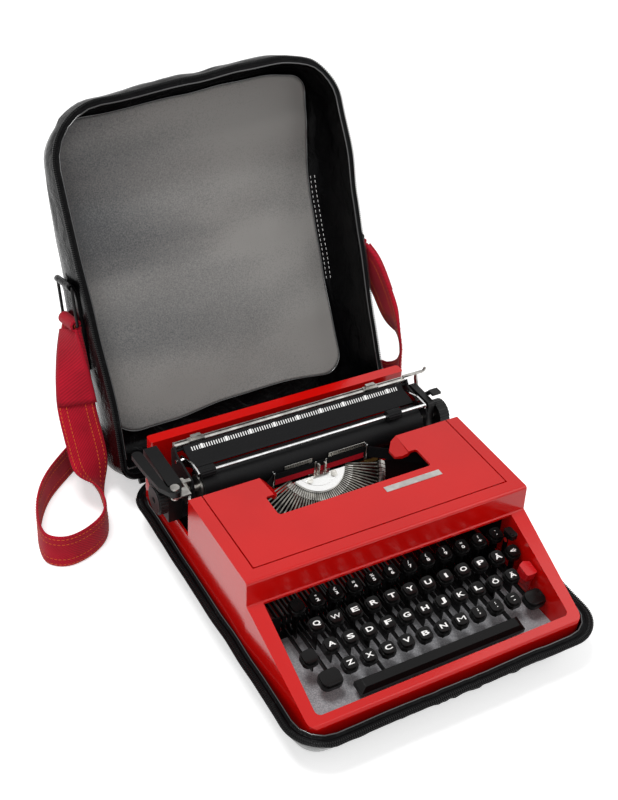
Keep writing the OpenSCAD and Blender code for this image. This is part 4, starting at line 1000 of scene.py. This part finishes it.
def letter_mesh(text, size):
    """Points and faces of a letter centred on its middle, drawn out to the legends' wide form."""
    curve = bpy.data.curves.new("letter", "FONT")
    curve.body = text
    curve.size = size
    curve.offset = 0.0 if text in "MW" else 0.025 * size
    curve.extrude = 0.05
    curve.resolution_u = 3
    curve.align_x = "CENTER"
    thing = put_in_scene("letter", curve)
    bpy.context.view_layer.update()
    got = thing.evaluated_get(bpy.context.evaluated_depsgraph_get()).to_mesh()
    verts = [v.co.copy() for v in got.vertices]
    faces = [tuple(f.vertices) for f in got.polygons]
    thing.to_mesh_clear()
    bpy.data.objects.remove(thing)
    bpy.data.curves.remove(curve)
    xs, ys = [v.x for v in verts], [v.y for v in verts]
    mid_x, mid_y, width = (max(xs) + min(xs)) / 2, (max(ys) + min(ys)) / 2, max(xs) - min(xs)
    stretch = LETTER_WIDTH.get(text, 1.0) * 1.12 * size / width if text.isalpha() else 1.45
    for v in verts:
        v.x = (v.x - mid_x) * stretch
        v.y -= mid_y
    return verts, faces


def make_legend(name, body, entries):
    """Signs of one key body: (text, size, key top, shift to the right, shift upwards)."""
    verts, faces = [], []
    for text, size, top, right, up in entries:
        outline, pattern = letter_mesh(text, size)
        points = []
        for v in outline:
            x, y = v.x + right, v.y + up
            z = DISH_R - DISH_DEEP - math.sqrt(DISH_R ** 2 - y ** 2) + 0.06 + v.z
            points.append(Vector(top) + KEY_TURN @ Vector((x, y, z)))
        add_part(verts, faces, points, pattern)
    new_piece(name, verts, faces, LEGEND, body, smooth=False)


def key_tops(row, count, first=0):
    return [(row[0] + PITCH * (first + i), row[1], row[2]) for i in range(count)]


def letters(row, text):
    """One letter in the middle of each key."""
    return [(c, LETTER_TALL, top, 0, 0) for c, top in zip(text, key_tops(row, len(text)))]


def two_signs(tops, lower, upper):
    """A lower and an upper sign on each key: lower and upper are (signs, size, shift upwards)."""
    return [(signs[i], size, top, 0, up) for i, top in enumerate(tops) for signs, size, up in (lower, upper)]


def make_legends():
    numbers = two_signs(key_tops(ROW_1, 11), ("234567890+´", 4.5, -1.9), ("\"£¤%&/()=?`", 3.8, 2.4))
    make_legend("legends_row_1", "row_1", numbers)
    make_legend("legends_row_2", "row_2", letters(ROW_2, "QWERTYUIOPÅ"))
    home = letters(ROW_3, "ASDFGHJKLÖÄ")
    make_legend("legends_row_3", "row_3", [entry for entry in home if entry[0] != "H"])
    make_legend("legend_h", "letter_h", [entry for entry in home if entry[0] == "H"])
    make_legend("legend_backspace", "backspace", [("<", 7.0, BACKSPACE, -0.9, 0), ("-", 6.0, BACKSPACE, 1.6, 0)])
    stops = two_signs(key_tops(ROW_4, 3, first=7), (",.-", 5.0, -1.8), (";:_", 4.4, 2.2))
    make_legend("legends_row_4", "row_4", letters(ROW_4, "ZXCVBNM") + stops)


make_legends()


# Carriage and type action details

# Width of one typed character, and the sloping strip of the paper table that carries the scale
CHARACTER = 2.54
SCALE_FOOT, SCALE_SLOPE = Vector((0, 119.8, 113.75)), Vector((0, 6.3, 3.9)).normalized()
# Swing of the basket, how many places the fan of typebars has, the typed one's place, and the angle between them
BASKET_TILT, BAR_PLACES, TYPED_PLACE, BAR_STEP = math.radians(29), 43, 21, 3.5
# Side view of a type slug: distance from the segment's centre, height over the bar
SLUG_SIDE = ((65.4, 0.2), (67.0, 2.35), (72.1, -1.2), (68.9, -5.1))


def make_boxes(name, items, material, body):
    """One mesh of small rectangular marks or plates: (low corner, high corner)."""
    verts, faces = [], []
    for (x0, y0, z0), (x1, y1, z1) in items:
        points = [Vector((x, y, z)) for z in (z0, z1) for x, y in ((x0, y0), (x1, y0), (x1, y1), (x0, y1))]
        add_part(verts, faces, points, skin_faces(2, 4))
    new_piece(name, verts, faces, material, body, smooth=False)


def make_scale_marks():
    """White ticks of the paper scale on the sloping strip: one per character, a bold one at each ten."""
    verts, faces = [], []
    normal = Vector((0, -SCALE_SLOPE.z, SCALE_SLOPE.y))
    for i in range(-44, 45):
        tall, wide = (4.6, 2.6) if i % 10 == 0 else (4.0, 1.0)
        base = SCALE_FOOT + Vector((CHARACTER * i, 0, 0))
        points = [base + Vector((w * wide / 2, 0, 0)) + SCALE_SLOPE * tall * t + normal * lift
                  for lift in (0.08, 0.14) for w, t in ((-1, 0), (1, 0), (1, 1), (-1, 1))]
        add_part(verts, faces, points, skin_faces(2, 4))
    new_piece("paper_scale_marks", verts, faces, LEGEND, "carriage", smooth=False)


def make_line_marks():
    """Marks on the line scales either side of the type guide, the first of each a long one."""
    items = []
    for first, count in ((-37, 10), (12, 15)):
        for i in range(count):
            x = first + CHARACTER * i
            items.append(((x - 0.25, 75.05, 99.6 if i else 98.4), (x + 0.25, 75.2, 101.6)))
    make_boxes("line_scale_marks", items, KEY_BLACK, MACHINE)


def make_type_slugs():
    """Bright plated faces of the type slugs, one on the end of each resting bar."""
    verts, faces = [], []
    for i in range(BAR_PLACES):
        if i == TYPED_PLACE:
            continue
        fan = math.radians(-90 + (i - TYPED_PLACE) * BAR_STEP)
        spin = Matrix.Rotation(BASKET_TILT, 3, "X") @ Matrix.Rotation(fan, 3, "Z")
        points = [Vector(SEGMENT_CENTRE) + spin @ Vector((out, side, up)) for side in (-1.75, 1.75)
                  for out, up in SLUG_SIDE]
        add_part(verts, faces, points, skin_faces(2, 4))
    new_piece("type_slug_faces", verts, faces, TYPE_METAL, "type_basket", smooth=False)


def make_selector_dot():
    """Round red mark on the left face of the ribbon selector's neck."""
    radius, count = 2.3, 20
    verts = []
    for x in (119.35, 119.8):
        for k in range(count):
            t = 2 * math.pi * k / count
            verts.append(Vector((x, -66 + radius * math.cos(t), 66 + radius * math.sin(t))) * MM)
    dot = new_piece("selector_dot", verts, skin_faces(2, count), RED_DOT, "ribbon_selector", smooth=False)


make_scale_marks()
make_line_marks()
make_type_slugs()
make_selector_dot()
make_boxes("ribbon_red_half", [((-48, 74.32, 83.95), (48, 74.88, 90.2))], INK_RED, MACHINE)


# Studio: pale floor and world, which the camera and every gloss see as white, and three soft lamps

WHITE = (1, 1, 1, 1)
FLOOR_HALF = 6.0
# Place and aim in metres, size in metres, power in watts
LAMPS = (
    ("key_light", (-0.5, 0.1, 2.1), (0, 0, 0.05), 0.7, 25.0),
    ("fill_light", (1.3, -1.0, 1.7), (0, 0, 0.05), 1.2, 7.0),
    ("front_light", (-0.9, -1.3, 1.6), (0, 0, 0.1), 0.6, 6.0),
)


def seen_directly(tree, path):
    """1 for what the camera or a gloss sees, 0 for the light that falls on the object."""
    return add(tree, MATH, {"operation": "MAXIMUM"}, {0: (path, "Is Camera Ray"), 1: (path, "Is Glossy Ray")})


def make_floor():
    corners = [(x * FLOOR_HALF, y * FLOOR_HALF, 0) for x, y in ((-1, -1), (1, -1), (1, 1), (-1, 1))]
    mesh = bpy.data.meshes.new("floor")
    mesh.from_pydata(corners, [], [(0, 1, 2, 3)])
    floor = put_in_scene("floor", mesh)
    paper, tree, shader = principled("studio_paper", "F4F4F4", 0.9, Specular_IOR_Level=0.0)
    seen = seen_directly(tree, add(tree, "ShaderNodeLightPath"))
    glow = add(tree, "ShaderNodeEmission", {"Color": WHITE, "Strength": 0.5})
    lit = add(tree, "ShaderNodeAddShader", {}, {0: (shader, 0), 1: (glow, 0)})
    add(tree, "ShaderNodeMixShader", {}, {0: (seen, 0), 1: (shader, 0), 2: (lit, 0)},
        {0: (tree.nodes["Material Output"], "Surface")})
    mesh.materials.append(paper)


def make_world():
    world = bpy.data.worlds.new("studio")
    bpy.context.scene.world = world
    world.use_nodes = True
    tree = world.node_tree
    tree.nodes.clear()
    path = add(tree, "ShaderNodeLightPath")
    seen = seen_directly(tree, path)
    through = add(tree, MATH, {"operation": "MAXIMUM"}, {0: (seen, 0), 1: (path, "Is Transmission Ray")})
    soft = add(tree, "ShaderNodeBackground", {"Color": WHITE, "Strength": 0.42})
    white = add(tree, "ShaderNodeBackground", {"Color": WHITE, "Strength": 1.0})
    mix = add(tree, "ShaderNodeMixShader", {}, {0: (through, 0), 1: (soft, 0), 2: (white, 0)})
    add(tree, "ShaderNodeOutputWorld", {}, {"Surface": (mix, 0)})


def make_lamps():
    for name, spot, aim, size, watts in LAMPS:
        data = bpy.data.lights.new(name, "AREA")
        data.shape = "SQUARE"
        data.size = size
        data.energy = watts
        lamp = put_in_scene(name, data)
        lamp.location = spot
        lamp.rotation_euler = (Vector(aim) - Vector(spot)).to_track_quat("-Z", "Y").to_euler()


make_floor()
make_world()
make_lamps()
bpy.context.scene.view_settings.view_transform = "Standard"
